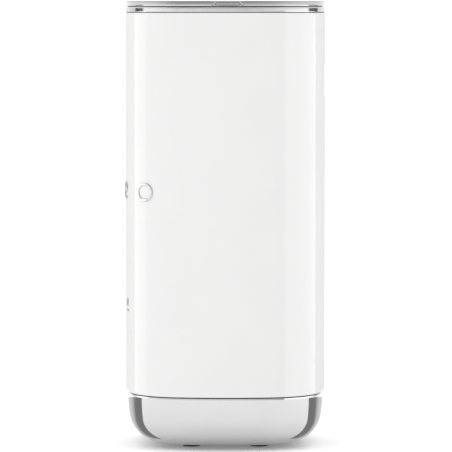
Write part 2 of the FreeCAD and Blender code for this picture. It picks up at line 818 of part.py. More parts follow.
blades = []
for number in range(6):
    length = value("impeller_diameter/2 - 3")
    blade = block(f"blade{number}", "impeller_diameter/2 - 3", "blade_thickness", "blade_height + 0.5")
    turn = Rotation(Vector(0, 0, 1), 60 * number)
    start = turn.multVec(Vector(3, -2.5, 0))
    blade.Placement = FreeCAD.Placement(start, turn)
    blade.setExpression("Placement.Base.z", formula("blade_bottom"))
    blades.append(blade)
wheel_blank = joined(
    "wheel_blank", *blades,
    rod("wheel_disc", "impeller_diameter", "1.5", level="blade_top"),
    rod("wheel_hub", "hub_diameter", "blade_height + 4", level="blade_bottom"))
wheel_trim = tube("wheel_trim", "impeller_diameter + 20", "impeller_diameter", "blade_height + 10",
                  level="blade_bottom - 2")
impeller = carved("impeller", wheel_blank, wheel_trim,
                  rod("wheel_bore", "shaft_diameter", "30", level="blade_bottom + 1"))

coil_ring = DOC.addObject("Part::Torus", "coil_ring")
bind(coil_ring, Radius1="coil_radius", Radius2="coil_tube/2", Angle3="360 - coil_opening")
coil_start = 90 + value("coil_opening") / 2
coil_ring.Placement = FreeCAD.Placement(Vector(), Rotation(Vector(0, 0, 1), coil_start))
place(coil_ring, level="coil_level")
coil_ends = []
for number, (across, along) in enumerate(terminals):
    ball = DOC.addObject("Part::Sphere", f"coil_bend{number}")
    bind(ball, Radius="coil_tube/2")
    place(ball, across, along, "coil_level")
    coil_ends.append(ball)
    coil_ends.append(rod(f"coil_end{number}", "coil_tube", "barrier_top + 8 - coil_level",
                         across, along, "coil_level"))
heater_coil = joined("heater_coil", coil_ring, *coil_ends)

probe_bottom = "dome_floor + 5"
temperature_probe = rod("temperature_probe", "probe_diameter", f"barrier_top + 6 - ({probe_bottom})",
                        "-sensor_reach", "0", probe_bottom)
level_sensor = group("level_sensor", [
    rod(f"electrode{n}", "electrode_diameter", "barrier_floor + 12", x, y, "barrier_bottom - 6")
    for n, (x, y) in enumerate(electrodes)
])
thermal_fuse = block("thermal_fuse", "14", "6", "5", along="-sensor_reach - 6", level="barrier_top")

# ---- motor ----

bracket_holes = [
    rod(f"bracket_hole{n}", "screw_diameter", "10", x, y, "leg_top - 2")
    for n, (x, y) in enumerate(corners("leg_reach"))
]
motor_bracket = carved(
    "motor_bracket",
    block("bracket_plate", "2*leg_reach + 12", "2*leg_reach + 12", "bracket_thickness", level="leg_top"),
    rod("bracket_bore", "bearing_boss", "10", level="leg_top - 2"), *bracket_holes)
bracket_screws = group("bracket_screws", [
    screw(f"bracket_screw{n}", x, y, "motor_bottom", "10 + bracket_thickness")
    for n, (x, y) in enumerate(corners("leg_reach"))
])
can_bore = "motor_diameter - 2*motor_wall"
motor_can = carved(
    "motor_can",
    joined("can_blank",
           tube("can_wall", "motor_diameter", can_bore, "motor_length - motor_plate",
                level="motor_bottom"),
           rod("can_floor", "motor_diameter", "motor_plate", level="motor_bottom"),
           rod("can_boss", "bearing_boss", "motor_plate + bearing_width", level="motor_bottom")),
    rod("can_hole", "shaft_diameter + 2", "5", level="motor_bottom - 1"),
    rod("can_seat", "bearing_diameter", "10", level="motor_bottom + motor_plate"))
motor_end_cap = carved(
    "motor_end_cap",
    joined("end_blank",
           rod("end_plate", "motor_diameter", "motor_plate", level="motor_top - motor_plate"),
           rod("end_boss", "bearing_boss", "bearing_width + motor_plate",
               level="motor_top - motor_plate - bearing_width")),
    rod("end_hole", "shaft_diameter + 2", "5", level="motor_top - 3"),
    rod("end_seat", "bearing_diameter", "bearing_width + 2",
        level="motor_top - motor_plate - bearing_width - 2"))
bearing_bore = "shaft_diameter + 2*shaft_gap"
bearings = group("motor_bearings", [
    tube("lower_bearing", "bearing_diameter", bearing_bore, "bearing_width",
         level="motor_bottom + motor_plate"),
    tube("upper_bearing", "bearing_diameter", bearing_bore, "bearing_width",
         level="motor_top - motor_plate - bearing_width"),
])
motor_stator = tube("motor_stator", can_bore, "stator_bore", "stator_length", level="stator_bottom")
windings = []
for number, level in enumerate(("stator_bottom - winding_thickness/2",
                                "stator_bottom + stator_length + winding_thickness/2")):
    winding = DOC.addObject("Part::Torus", f"winding{number}")
    bind(winding, Radius1=f"({can_bore} + stator_bore)/4", Radius2="winding_thickness/2 - 0.02")
    windings.append(place(winding, level=level))
motor_windings = group("motor_windings", windings)
motor_rotor = tube("motor_rotor", "stator_bore - 2*rotor_gap", "shaft_diameter", "stator_length",
                   level="stator_bottom")
motor_shaft = rod("motor_shaft", "shaft_diameter", "motor_top + 3 - blade_bottom - 1",
                  level="blade_bottom + 1")

# ---- chassis and boards ----

plate = plan_ring("chassis_plate", "plate_inset", None, "plate_bottom", "plate_thickness")
spine_middle = "spine_offset + spine_thickness/2"
chassis_blank = joined(
    "chassis_blank", plate,
    block("chassis_spine", "spine_width", "spine_thickness", "plate_top - barrier_top",
          along=spine_middle, level="barrier_top"),
    block("chassis_foot", "spine_width", "spine_thickness + 10", "spine_thickness",
          along="spine_offset + (spine_thickness + 10)/2", level="barrier_top"))
power_points = [(f"{side}*(power_board_width/2 - 5)", level) for side in (1, -1)
                for level in ("power_board_level + 5", "power_board_level + power_board_height - 5")]
chassis_holes = [
    rod("wire_hole", "18", "10", along="spine_offset/2", level="plate_bottom - 2"),
    block("spine_window", "spine_width/2", "10", "50", along=spine_middle, level="motor_bottom"),
]
chassis_holes += [
    rod(f"ring_hole{n}", "screw_diameter", "10", x, y, "plate_bottom - 2")
    for n, (x, y) in enumerate(corners("lug_spread"))
]
chassis_holes += [
    rod(f"control_hole{n}", "screw_diameter", "10", x, y, "plate_bottom - 2")
    for n, (x, y) in enumerate(corners("control_reach"))
]
chassis_holes += [
    rod(f"foot_hole{n}", "screw_diameter", "10", x, y, "barrier_top - 2")
    for n, (x, y) in enumerate(foot_screws)
]
chassis_holes += [
    rod(f"power_hole{n}", "screw_diameter", "10", x, "spine_offset - 2", z, axis="Y")
    for n, (x, z) in enumerate(power_points)
]
chassis = carved("chassis", chassis_blank, *chassis_holes)
chassis_screws = group("chassis_screws", [
    screw(f"chassis_screw{n}", x, y, "barrier_top + spine_thickness", "spine_thickness + 2.5")
    for n, (x, y) in enumerate(foot_screws)
])
ring_screws = group("ring_screws", [
    screw(f"ring_screw{n}", x, y, "plate_bottom", "plate_thickness + 8", down=False)
    for n, (x, y) in enumerate(corners("lug_spread"))
])

power_spacers = group("power_spacers", [
    tube(f"power_spacer{n}", "spacer_diameter", "screw_diameter", "spacer_height", x,
         "spine_offset - spacer_height", z, axis="Y")
    for n, (x, z) in enumerate(power_points)
])
power_board = carved(
    "power_board",
    block("power_blank", "power_board_width", "board_thickness", "power_board_height",
          along="board_front + board_thickness/2", level="power_board_level"),
    *[rod(f"power_board_hole{n}", "screw_diameter", "10", x, "board_front - 2", z, axis="Y")
      for n, (x, z) in enumerate(power_points)])
power_screws = group("power_screws", [
    joined(f"power_screw{n}",
           rod(f"power_head{n}", "head_diameter", "head_height", x, "board_front - head_height", z,
               axis="Y"),
           rod(f"power_shank{n}", "screw_diameter", "board_thickness + spacer_height + 3", x,
               "board_front", z, axis="Y"))
    for n, (x, z) in enumerate(power_points)
])


def on_board(name, width, depth, height, across, level, back="board_front"):
    """A component that stands out towards -Y from the power board, or from the plane called back."""
    return block(name, width, depth, height, across, f"({back}) - ({depth})/2",
                 f"power_board_level + ({level})")


transformer = on_board("transformer", "30", "22", "26", "12", "8")
relay = on_board("relay", "16", "15", "20", "-17", "10")
capacitors = group("capacitors", [
    rod(f"capacitor{n}", "14", "20", "-19", "board_front - 20", f"power_board_level + {42 + 16 * n}",
        axis="Y")
    for n in range(2)
])
triac = on_board("triac", "10", "4.5", "16", "8", "56")
sink_face = "board_front - 4.5"
heat_sink = joined(
    "heat_sink", on_board("sink_base", "36", "4", "46", "8", "46", sink_face),
    *[on_board(f"sink_fin{n}", "1.6", "14", "46", f"8 - 17.2 + {n}*34.4/6", "46", f"{sink_face} - 3")
      for n in range(7)])

control_slab = plan_ring("control_slab", "control_board_inset", None, "control_bottom", "board_thickness")
control_board = carved("control_board", control_slab, *[
    rod(f"control_board_hole{n}", "screw_diameter", "10", x, y, "control_bottom - 2")
    for n, (x, y) in enumerate(corners("control_reach"))
])
control_spacers = group("control_spacers", [
    tube(f"control_spacer{n}", "spacer_diameter", "screw_diameter", "spacer_height", x, y, "plate_top")
    for n, (x, y) in enumerate(corners("control_reach"))
])
control_screws = group("control_screws", [
    screw(f"control_screw{n}", x, y, "control_top", "board_thickness + spacer_height + plate_thickness")
    for n, (x, y) in enumerate(corners("control_reach"))
])
display_module = block("display_module", "56", "24", "glass_bottom - fit_gap - control_top",
                       along="8", level="control_top")

# ---- keys ----

key_switches = group("key_switches", [
    rod(f"key_switch_{word}", "key_stem + 1", "switch_height", across, "-key_spread", "control_top")
    for word, across in key_places.items()
])
keys = []
returns = []
for word, across in key_places.items():
    keys.append(joined(
        f"key_{word}",
        rod(f"key_cap_{word}", "key_diameter", "glass_top - fit_gap - key_flange_bottom", across,
            "-key_spread", "key_flange_bottom"),
        rod(f"key_flange_{word}", "key_flange", "key_flange_height", across, "-key_spread",
            "key_flange_bottom"),
        rod(f"key_stem_{word}", "key_stem", "key_flange_bottom - stem_bottom", across, "-key_spread",
            "stem_bottom")))
    foot = "control_top + return_gap"
    tall = f"key_flange_bottom - return_gap - ({foot})"
    bore = "return_diameter - 2*return_wall"
    ribs = [
        tube(f"return_rib_{word}{number}", "return_diameter + 2*return_rib", bore, "return_rib",
             across, "-key_spread", f"{foot} + ({tall})*{number}/4 - return_rib/2")
        for number in (1, 2, 3)
    ]
    wall = tube(f"return_wall_{word}", "return_diameter", bore, tall, across, "-key_spread", foot)
    returns.append(joined(f"key_return_{word}", wall, *ribs))

# ---- mains inlet ----

def pin_rods(name):
    """The two round pins, or their bores through the socket's back wall."""
    return [
        rod(f"{name}{number}", "pin_diameter", "pin_length", f"{side}*pin_spread/2",
            f"{inlet_face} - socket_depth - 5", "inlet_level", axis="Y")
        for number, side in enumerate((1, -1))
    ]


inlet_face = "body_width/2 - inlet_recess"
inlet_blank = joined(
    "inlet_blank",
    block("inlet_body", "inlet_width", "inlet_depth", "inlet_height",
          along=f"{inlet_face} - inlet_depth/2", level="inlet_level - inlet_height/2"),
    block("inlet_flange", "inlet_width + 6", "2.5", "inlet_height + 6",
          along="body_width/2 - sleeve_wall - 2.25", level="inlet_level - inlet_height/2 - 3"))
mains_inlet = carved(
    "mains_inlet", inlet_blank,
    block("inlet_socket", "inlet_width - 7", "2*socket_depth", "inlet_height - 6", along=inlet_face,
          level="inlet_level - inlet_height/2 + 3"),
    *pin_rods("pin_bore"))
inlet_pins = group("inlet_pins", pin_rods("inlet_pin"))

# ---- write one file for each sub-part ----

SUBPARTS = [
    base_dome, seam_gasket, body_sleeve, ring_gasket, top_ring, groove_seal, cap_bezel, control_glass,
    side_frame, power_button, power_switch, badge_rings, level_marks,
    feet, base_screws, intake_grille, outlet_grille,
    bulkhead, shaft_seal, pump_volute, volute_gasket, impeller, heater_coil, temperature_probe,
    level_sensor, thermal_fuse,
    motor_bracket, bracket_screws, motor_can, motor_end_cap, bearings, motor_stator, motor_windings,
    motor_rotor, motor_shaft,
    chassis, chassis_screws, ring_screws, power_spacers, power_board, power_screws, transformer, relay,
    capacitors, triac, heat_sink, control_board, control_spacers, control_screws, display_module,
    key_switches, *keys, *returns, mains_inlet, inlet_pins,
]

DOC.recompute()
for item in DOC.Objects:
    if {"Invalid", "Error"} & set(item.State):
        raise RuntimeError(f"{item.Label} did not build: {item.State}")
os.makedirs("parts", exist_ok=True)
for item in SUBPARTS:
    if item.Shape.isNull() or not item.Shape.isValid():
        raise RuntimeError(f"{item.Label} has no valid shape")
    item.Shape.exportStep(f"parts/{item.Label}.step")
print(f"{len(SUBPARTS)} sub-parts written")
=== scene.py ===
import json
import math

import bmesh
import bpy
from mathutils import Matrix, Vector


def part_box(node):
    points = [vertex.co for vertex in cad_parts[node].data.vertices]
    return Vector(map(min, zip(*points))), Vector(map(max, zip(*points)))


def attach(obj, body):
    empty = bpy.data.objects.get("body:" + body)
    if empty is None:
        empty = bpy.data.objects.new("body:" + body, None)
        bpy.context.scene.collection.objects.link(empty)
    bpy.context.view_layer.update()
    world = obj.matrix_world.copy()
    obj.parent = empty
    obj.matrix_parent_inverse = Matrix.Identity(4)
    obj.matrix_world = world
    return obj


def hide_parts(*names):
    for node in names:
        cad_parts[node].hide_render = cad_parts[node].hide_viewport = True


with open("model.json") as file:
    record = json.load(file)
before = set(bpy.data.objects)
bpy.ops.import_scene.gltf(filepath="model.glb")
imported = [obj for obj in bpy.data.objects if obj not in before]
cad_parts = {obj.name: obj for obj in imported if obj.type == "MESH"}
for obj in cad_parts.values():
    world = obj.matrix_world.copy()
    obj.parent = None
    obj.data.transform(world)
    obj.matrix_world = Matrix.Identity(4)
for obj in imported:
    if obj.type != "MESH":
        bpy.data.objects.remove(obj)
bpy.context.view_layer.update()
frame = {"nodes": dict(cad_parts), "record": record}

bl_info = {
    "name": "Free-standing Circulator",
    "version": (1, 0, 0),
    "blender": (4, 5, 0),
    "location": "View3D > Sidebar > Circulator",
    "description": "Builds the finished surfaces of a free-standing circulator around its frame",
    "category": "Object",
}

MM = 0.001
SLEEVE_LOW, SLEEVE_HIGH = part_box("body_sleeve")
DOME_LOW, DOME_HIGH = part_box("base_dome")
RING_LOW, RING_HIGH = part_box("top_ring")
CAP_LOW, CAP_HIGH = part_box("cap_bezel")
GLASS_LOW, GLASS_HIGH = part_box("control_glass")
RIM_LOW, RIM_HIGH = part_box("button_frame")
PUSH_LOW, PUSH_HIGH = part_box("power_button")
HALF_WIDTH = SLEEVE_HIGH.x
RING_BAND_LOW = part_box("ring_gasket")[1].z
CAP_BAND_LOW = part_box("groove_seal")[1].z
BUTTON_MIDDLE = (RIM_LOW + RIM_HIGH) / 2

# distance from a rounding to the points that keep the flat beside it flat
NEAR = 0.3 * MM
# walls and steps, as insets from the outer skin
SLEEVE_WALL, RING_WALL, RING_STEP = 2.5 * MM, 5 * MM, 2.6 * MM
CAP_WALL, CAP_LEDGE, CAP_FOOT_INNER, CAP_FOOT_OUTER = 4 * MM, 9 * MM, 7 * MM, 5.1 * MM
# windows in the back: half width, lower and upper level, inner and outer reach
INLET_WINDOW = (12.1 * MM, 190.9 * MM, 209.1 * MM, 30 * MM, 70 * MM)
OUTLET_WINDOW = (7.5 * MM, 10 * MM, 17 * MM, 45 * MM, 65 * MM)
# places of the feet with their screws, and of the lugs under the ring
FOOT_SPREAD, LUG_SPREAD = 18.5 * MM, 37.5 * MM


# ---- settings ----

def length(name, description, default, **more):
    return bpy.props.FloatProperty(
        name=name, description=description, default=default, unit="LENGTH", subtype="DISTANCE",
        precision=5, min=0.0, **more)


def colour(name, description, default):
    return bpy.props.FloatVectorProperty(
        name=name, description=description, default=default, size=3, subtype="COLOR",
        min=0.0, max=1.0)


def amount(name, description, default, top=1.0, **more):
    return bpy.props.FloatProperty(
        name=name, description=description, default=default, min=0.0, max=top, **more)


class CirculatorShape(bpy.types.PropertyGroup):
    """Radii and edge roundings of the outer pieces"""
    face_radius: length("Face radius", "Radius of the four wide faces of the plan", 0.133)
    corner_radius: length("Corner radius", "Radius of the four corners of the plan", 0.033)
    face_steps: bpy.props.IntProperty(
        name="Face steps", description="Points along each wide face", default=28, min=4, max=120)
    corner_steps: bpy.props.IntProperty(
        name="Corner steps", description="Points round each corner", default=56, min=4, max=240)
    sleeve_edge: length("Sleeve edge", "Rounding of the sleeve's lower edge", 0.6 * MM)
    lip_edge: length("Lip edge", "Rounding of the sleeve's upper edge", 0.25 * MM)
    ring_edge: length("Ring edge", "Rounding of the ring's two edges", 0.3 * MM)
    cap_edge: length("Cap edge", "Rounding of the cap's upper edge", 0.8 * MM)
    dome_side: length("Dome side", "Radius of the dome's upper side", 90 * MM)
    dome_turn: length("Dome turn", "Radius where the dome turns under", 16 * MM)
    dome_belly: length("Dome belly", "Radius of the dome's underside", 100 * MM)
    dome_flat: length("Dome flat", "Half width of the flat under the dome", 24.7 * MM)
    dome_wall: length("Dome wall", "Thickness of the dome's sheet", 1.2 * MM)


class CirculatorFinish(bpy.types.PropertyGroup):
    """Colours and gloss of the outer pieces"""
    body_colour: colour("Body colour", "Lacquer of the sleeve", (0.70, 0.70, 0.697))
    body_roughness: amount("Body roughness", "Roughness of the lacquer", 0.045, subtype="FACTOR")
    metal_colour: colour("Metal colour", "Polished metal", (0.60, 0.60, 0.605))
    metal_roughness: amount("Metal roughness", "Roughness of the polish", 0.035, subtype="FACTOR")
    mark_colour: colour("Mark colour", "Printed and raised marks", (0.30, 0.30, 0.31))
    glass_colour: colour("Glass colour", "Dark control glass", (0.012, 0.012, 0.014))
    lit_colour: colour("Lit colour", "Digits and key symbols", (0.75, 0.9, 1.0))


class CirculatorStudio(bpy.types.PropertyGroup):
    """Camera, floor and soft light"""
    camera_distance: length("Camera distance", "From the object's middle", 2.07)
    camera_height: length("Camera height", "Above the floor", 0.2393)
    camera_aside: length("Camera aside", "Sideways from the object's middle", 0.4 * MM)
    aim_height: length("Aim height", "Level that the camera points at", 0.1198)
    lens: bpy.props.FloatProperty(
        name="Lens", description="Focal length in millimetres", default=298.8, min=20, max=600)
    floor_size: length("Floor size", "Side of the pale floor", 14.0)
    floor_glow: amount("Floor glow", "Light that the lit table under the object gives", 0.13)
    sky: amount("Sky", "Strength of the even white surround", 1.12, top=5.0)
    top_light: bpy.props.FloatProperty(
        name="Top light", description="Power of the overhead panel", default=12.0, min=0,
        unit="POWER")
    side_light: bpy.props.FloatProperty(
        name="Side light", description="Power of the panel at the front", default=3.0, min=0,
        unit="POWER")


# ---- finishes ----

# Each finish: its colour, how far the colour varies and over what length, metal, roughness and
# how far that varies, the relief's height, its size and how it is stretched; lengths in metres.
# A colour or roughness that is missing here is one of the settings above.
FINISHES = {
    "gloss_white": dict(spread=0.010, cloud=30 * MM, rough_spread=0.015, relief=1.2e-6,
                        grain=2.2 * MM, coat=0.0),
    "polished_steel": dict(metal=1.0, spread=0.012, cloud=12 * MM, rough_spread=0.020, relief=3e-7,
                           grain=0.5 * MM, stretch=(1, 1, 12)),
    "dark_rubber": dict(colour=(0.018, 0.018, 0.018), spread=0.25, cloud=3 * MM, rough=0.62,
                        rough_spread=0.10, relief=1.5e-5, grain=0.25 * MM),
    "black_glass": dict(spread=0.15, cloud=20 * MM, rough=0.03, rough_spread=0.012, relief=2e-7,
                        grain=4 * MM, coat=0.4),
    "grey_mark": dict(spread=0.05, cloud=1.5 * MM, rough=0.30, rough_spread=0.08, relief=2e-6,
                      grain=0.2 * MM),
    "black_plastic": dict(colour=(0.022, 0.022, 0.023), spread=0.18, cloud=4 * MM, rough=0.38,
                          rough_spread=0.08, relief=8e-6, grain=0.35 * MM),
    "grey_plastic": dict(colour=(0.23, 0.235, 0.24), spread=0.06, cloud=6 * MM, rough=0.42,
                         rough_spread=0.07, relief=6e-6, grain=0.4 * MM),
    "white_plastic": dict(colour=(0.74, 0.74, 0.72), spread=0.03, cloud=8 * MM, rough=0.34,
                          rough_spread=0.06, relief=5e-6, grain=0.4 * MM),
    "steel": dict(colour=(0.56, 0.56, 0.57), metal=1.0, spread=0.06, cloud=3 * MM, rough=0.24,
                  rough_spread=0.08, relief=1.5e-6, grain=0.12 * MM, stretch=(1, 1, 18)),
    "zinc": dict(colour=(0.60, 0.61, 0.63), metal=1.0, spread=0.10, cloud=2.5 * MM, rough=0.34,
                 rough_spread=0.12, relief=2e-6, grain=0.5 * MM, cells=True),
    "aluminium": dict(colour=(0.72, 0.73, 0.74), metal=1.0, spread=0.05, cloud=4 * MM, rough=0.30,
                      rough_spread=0.08, relief=2e-6, grain=0.15 * MM, stretch=(1, 1, 14)),
    "copper": dict(colour=(0.72, 0.34, 0.17), metal=1.0, spread=0.16, cloud=1.5 * MM, rough=0.26,
                   rough_spread=0.10, relief=4e-5, grain=0.5 * MM, bands=True),
    "brass": dict(colour=(0.76, 0.58, 0.28), metal=1.0, spread=0.07, cloud=2 * MM, rough=0.22,
                  rough_spread=0.07, relief=1e-6, grain=0.2 * MM),
    "board_green": dict(colour=(0.012, 0.10, 0.035), spread=0.35, cloud=1.6 * MM, rough=0.32,
                        rough_spread=0.08, relief=1.2e-5, grain=1.3 * MM, tracks=True),
    "display": dict(colour=(0.05, 0.06, 0.07), spread=0.12, cloud=3 * MM, rough=0.16,
                    rough_spread=0.04, relief=1e-6, grain=0.4 * MM),
    "yellow_tape": dict(colour=(0.72, 0.50, 0.05), spread=0.10, cloud=2 * MM, rough=0.33,
                        rough_spread=0.08, relief=1.2e-5, grain=1.2 * MM, bands=True),
    "blue_plastic": dict(colour=(0.03, 0.12, 0.42), spread=0.10, cloud=3 * MM, rough=0.36,
                         rough_spread=0.06, relief=5e-6, grain=0.4 * MM),
}


class Tree:
    """A short way to write a material's nodes and links."""

    def __init__(self, name):
        self.material = bpy.data.materials.new(name)
        self.material.use_nodes = True
        self.nodes = self.material.node_tree.nodes
        self.links = self.material.node_tree.links
        self.nodes.clear()
        self.across = 0

    def add(self, kind, inputs=(), **fields):
        node = self.nodes.new(kind)
        self.across += 1
        node.location = (self.across * 180, -(self.across % 3) * 160)
        for field, setting in fields.items():
            setattr(node, field, setting)
        for socket, source in dict(inputs).items():
            if isinstance(source, bpy.types.NodeSocket):
                self.links.new(source, node.inputs[socket])
            else:
                node.inputs[socket].default_value = source
        return node

    def noise(self, where, size, detail=4.0, roughness=0.55):
        noise = self.add(
            "ShaderNodeTexNoise",
            {"Vector": where, "Scale": 1 / size, "Detail": detail, "Roughness": roughness})
        return noise.outputs["Fac"]

    def between(self, source, low, high):
        spread = self.add(
            "ShaderNodeMapRange",
            {"Value": source, "From Min": 0.3, "From Max": 0.7, "To Min": low, "To Max": high})
        return spread.outputs["Result"]


def shade(tone, factor):
    return tuple(min(1.0, channel * factor) for channel in tone) + (1.0,)


def build_finish(slot, tone, rough, recipe):
    """A procedural material: clouded colour, uneven roughness and a fine relief."""
    tree = Tree("finish_" + slot)
    place = tree.add("ShaderNodeTexCoord").outputs["Object"]
    drawn = tree.add("ShaderNodeMapping", {"Vector": place})
    stretch = recipe.get("stretch", (1, 1, 1))
    drawn.inputs["Scale"].default_value = (stretch[0], stretch[1], 1 / stretch[2])
    drawn = drawn.outputs["Vector"]
    cloud = tree.noise(place, recipe["cloud"])
    ramp = tree.add("ShaderNodeValToRGB", {"Fac": cloud})
    ramp.color_ramp.elements[0].position = 0.3
    ramp.color_ramp.elements[1].position = 0.7
    ramp.color_ramp.elements[0].color = shade(tone, 1 - recipe["spread"])
    ramp.color_ramp.elements[1].color = shade(tone, 1 + recipe["spread"])
    paint = ramp.outputs["Color"]
    grain = tree.noise(drawn, recipe["grain"], detail=6.0)
    if recipe.get("cells"):
        cell = tree.add(
            "ShaderNodeTexVoronoi", {"Vector": place, "Scale": 0.25 / recipe["grain"]})
        grain = cell.outputs["Distance"]
    if recipe.get("bands"):
        band = tree.add(
            "ShaderNodeTexWave",
            {"Vector": place, "Scale": 0.5 / recipe["grain"], "Distortion": 1.2, "Detail": 2.0},
            bands_direction="Z")
        grain = band.outputs["Fac"]
    if recipe.get("tracks"):
        track = tree.add(
            "ShaderNodeTexBrick",
            {"Vector": place, "Scale": 0.25 / recipe["grain"], "Mortar Size": 0.035,
             "Color1": shade(tone, 1.0), "Color2": shade(tone, 1.35), "Mortar": shade(tone, 2.6)})
        mixed = tree.add("ShaderNodeMix", data_type="RGBA")
        mixed.inputs[0].default_value = 0.6
        tree.links.new(paint, mixed.inputs[6])
        tree.links.new(track.outputs["Color"], mixed.inputs[7])
        paint = mixed.outputs[2]
        grain = track.outputs["Fac"]
    wear = tree.noise(drawn, 6 * recipe["grain"], detail=5.0)
    spread = recipe["rough_spread"]
    bump = tree.add(
        "ShaderNodeBump", {"Height": grain, "Strength": 1.0, "Distance": recipe["relief"]})
    shader = tree.add("ShaderNodeBsdfPrincipled", {
        "Base Color": paint,
        "Metallic": recipe.get("metal", 0.0),
        "Roughness": tree.between(wear, max(0.0, rough - spread), rough + spread),
        "Normal": bump.outputs["Normal"],
        "Coat Weight": recipe.get("coat", 0.0),
        "Coat Roughness": 0.03,
    })
    tree.add("ShaderNodeOutputMaterial", {"Surface": shader.outputs["BSDF"]})
    return tree.material


def build_lit(name, tone, strength):
    """A softly lit symbol, slightly uneven as a diffused lamp is."""
    tree = Tree(name)
    place = tree.add("ShaderNodeTexCoord").outputs["Object"]
    glow = tree.between(tree.noise(place, 1.5 * MM), 0.85, 1.0)
    dim = tree.add("ShaderNodeMix", data_type="RGBA")
    tree.links.new(glow, dim.inputs[0])
    dim.inputs[6].default_value = shade(tone, 0.5)
    dim.inputs[7].default_value = shade(tone, 1.0)
    shader = tree.add("ShaderNodeBsdfPrincipled", {
        "Base Color": dim.outputs[2],
        "Roughness": tree.between(tree.noise(place, 0.6 * MM), 0.25, 0.4),
        "Emission Color": dim.outputs[2],
        "Emission Strength": strength,
    })
    tree.add("ShaderNodeOutputMaterial", {"Surface": shader.outputs["BSDF"]})
    return tree.material


def finish(slot):
    """The material of a slot, made the first time that it is asked for."""
    known = bpy.data.materials.get("finish_" + slot)
    if known:
        return known
    looks = bpy.context.scene.circulator_finish
    recipe = FINISHES[slot]
    tones = {"gloss_white": looks.body_colour, "polished_steel": looks.metal_colour,
             "grey_mark": looks.mark_colour, "black_glass": looks.glass_colour}
    roughs = {"gloss_white": looks.body_roughness, "polished_steel": looks.metal_roughness}
    tone = tones.get(slot, recipe.get("colour"))
    return build_finish(slot, tone, roughs.get(slot, recipe.get("rough")), recipe)


# ---- loops, sections and skins ----

def plan_centres(shape):
    """Centre distances of the face and corner arcs, and half a face arc's angle."""
    centre = shape.face_radius - HALF_WIDTH
    apart = shape.face_radius - shape.corner_radius
    turn = (math.sqrt(2 * apart ** 2 - centre ** 2) - centre) / 2
    return centre, turn, math.atan2(turn, turn + centre)


def plan_loop(shape):
    """Points and outward normals round the rounded-square plan."""
    centre, turn, spread = plan_centres(shape)
    loop = []
    for quarter in range(4):
        heading = quarter * math.pi / 2
        ahead = Vector((math.cos(heading), math.sin(heading)))
        knee = Vector((ahead.x - ahead.y, ahead.x + ahead.y)) * turn
        spans = (
            (-ahead * centre, shape.face_radius, -spread, spread, shape.face_steps),
            (knee, shape.corner_radius, spread, math.pi / 2 - spread, shape.corner_steps))
        for middle, radius, start, end, steps in spans:
            for step in range(steps):
                angle = heading + start + (end - start) * step / steps
                normal = Vector((math.cos(angle), math.sin(angle)))
                loop.append((middle + normal * radius, normal))
    return loop


def circle_loop(radius, steps=64):
    turns = [2 * math.pi * step / steps for step in range(steps)]
    return [(Vector((math.cos(turn), math.sin(turn))) * radius,
             Vector((math.cos(turn), math.sin(turn)))) for turn in turns]


def obround_loop(width, height, steps=24):
    """A slot shape: two half circles and the straight runs between them."""
    reach = (width - height) / 2
    loop = []
    for side in (1, -1):
        for step in range(steps + 1):
            angle = math.pi * (step / steps - side / 2)
            normal = Vector((math.cos(angle), math.sin(angle)))
            loop.append((Vector((side * reach, 0)) + normal * height / 2, normal))
    return loop


def front_spot(shape, travel):
    """The place and outward normal that far round from the middle of the front."""
    centre, turn, spread = plan_centres(shape)
    side, distance = math.copysign(1, travel), abs(travel)
    reach = shape.face_radius * spread
    if distance <= reach:
        angle, radius, middle = distance / shape.face_radius, shape.face_radius, Vector((0, centre))
    else:
        angle = spread + (distance - reach) / shape.corner_radius
        radius, middle = shape.corner_radius, Vector((side * turn, -turn))
    normal = Vector((side * math.sin(angle), -math.cos(angle)))
    return middle + normal * radius, normal


def arc(inset, level, radius, start, end, steps=6):
    """Section points on an arc; 0 degrees points outwards and 90 up."""
    turns = [math.radians(start + (end - start) * step / steps) for step in range(steps + 1)]
    return [(inset - radius * math.cos(turn), level + radius * math.sin(turn)) for turn in turns]


def upright(across=0.0, along=0.0):
    """Places a flat point and its rise on a vertical axis."""
    return lambda spot, rise: Vector((spot.x + across, spot.y + along, rise))


def facing_side(across, level):
    """Places a flat point on the +X side, where rise is the distance from the axis."""
    return lambda spot, rise: Vector((rise, spot.x + across, spot.y + level))


def on_front(shape, travel, level):
    """Wraps a flat point onto the front skin, where rise is the height above it."""
    def placed(spot, rise):
        point, normal = front_spot(shape, travel + spot.x)
        point = point + normal * rise
        return Vector((point.x, point.y, level + spot.y))
    return placed


def skin(mesh, rings, ends="joined"):
    """Faces from each ring of points to the next; the end rings are joined, filled or open."""
    rows = [[mesh.verts.new(point) for point in ring] for ring in rings]
    pairs = list(zip(rows, rows[1:]))
    if ends == "joined":
        pairs.append((rows[-1], rows[0]))
    for row, after in pairs:
        for here in range(len(row)):
            there = (here + 1) % len(row)
            mesh.faces.new((row[here], row[there], after[there], after[here]))
    if ends == "filled":
        mesh.faces.new(rows[0])
        mesh.faces.new(list(reversed(rows[-1])))


def carry(mesh, loop, section, placed, ends="joined"):
    """Carry a section of (inset, rise) points round a loop."""
    skin(mesh, [[placed(spot - normal * inset, rise) for spot, normal in loop]
                for inset, rise in section], ends)


def box_into(mesh, low, high, edge=0.0):
    """A box between two corners, its edges softened."""
    made = bmesh.ops.create_cube(mesh, size=1.0)["verts"]
    size = high - low
    for vert in made:
        vert.co = Vector(a + b * (c + 0.5) for a, b, c in zip(low, size, vert.co))
    if edge:
        edges = list({side for vert in made for side in vert.link_edges})
        bmesh.ops.bevel(mesh, geom=edges, offset=edge, segments=3, affect="EDGES", profile=0.5)


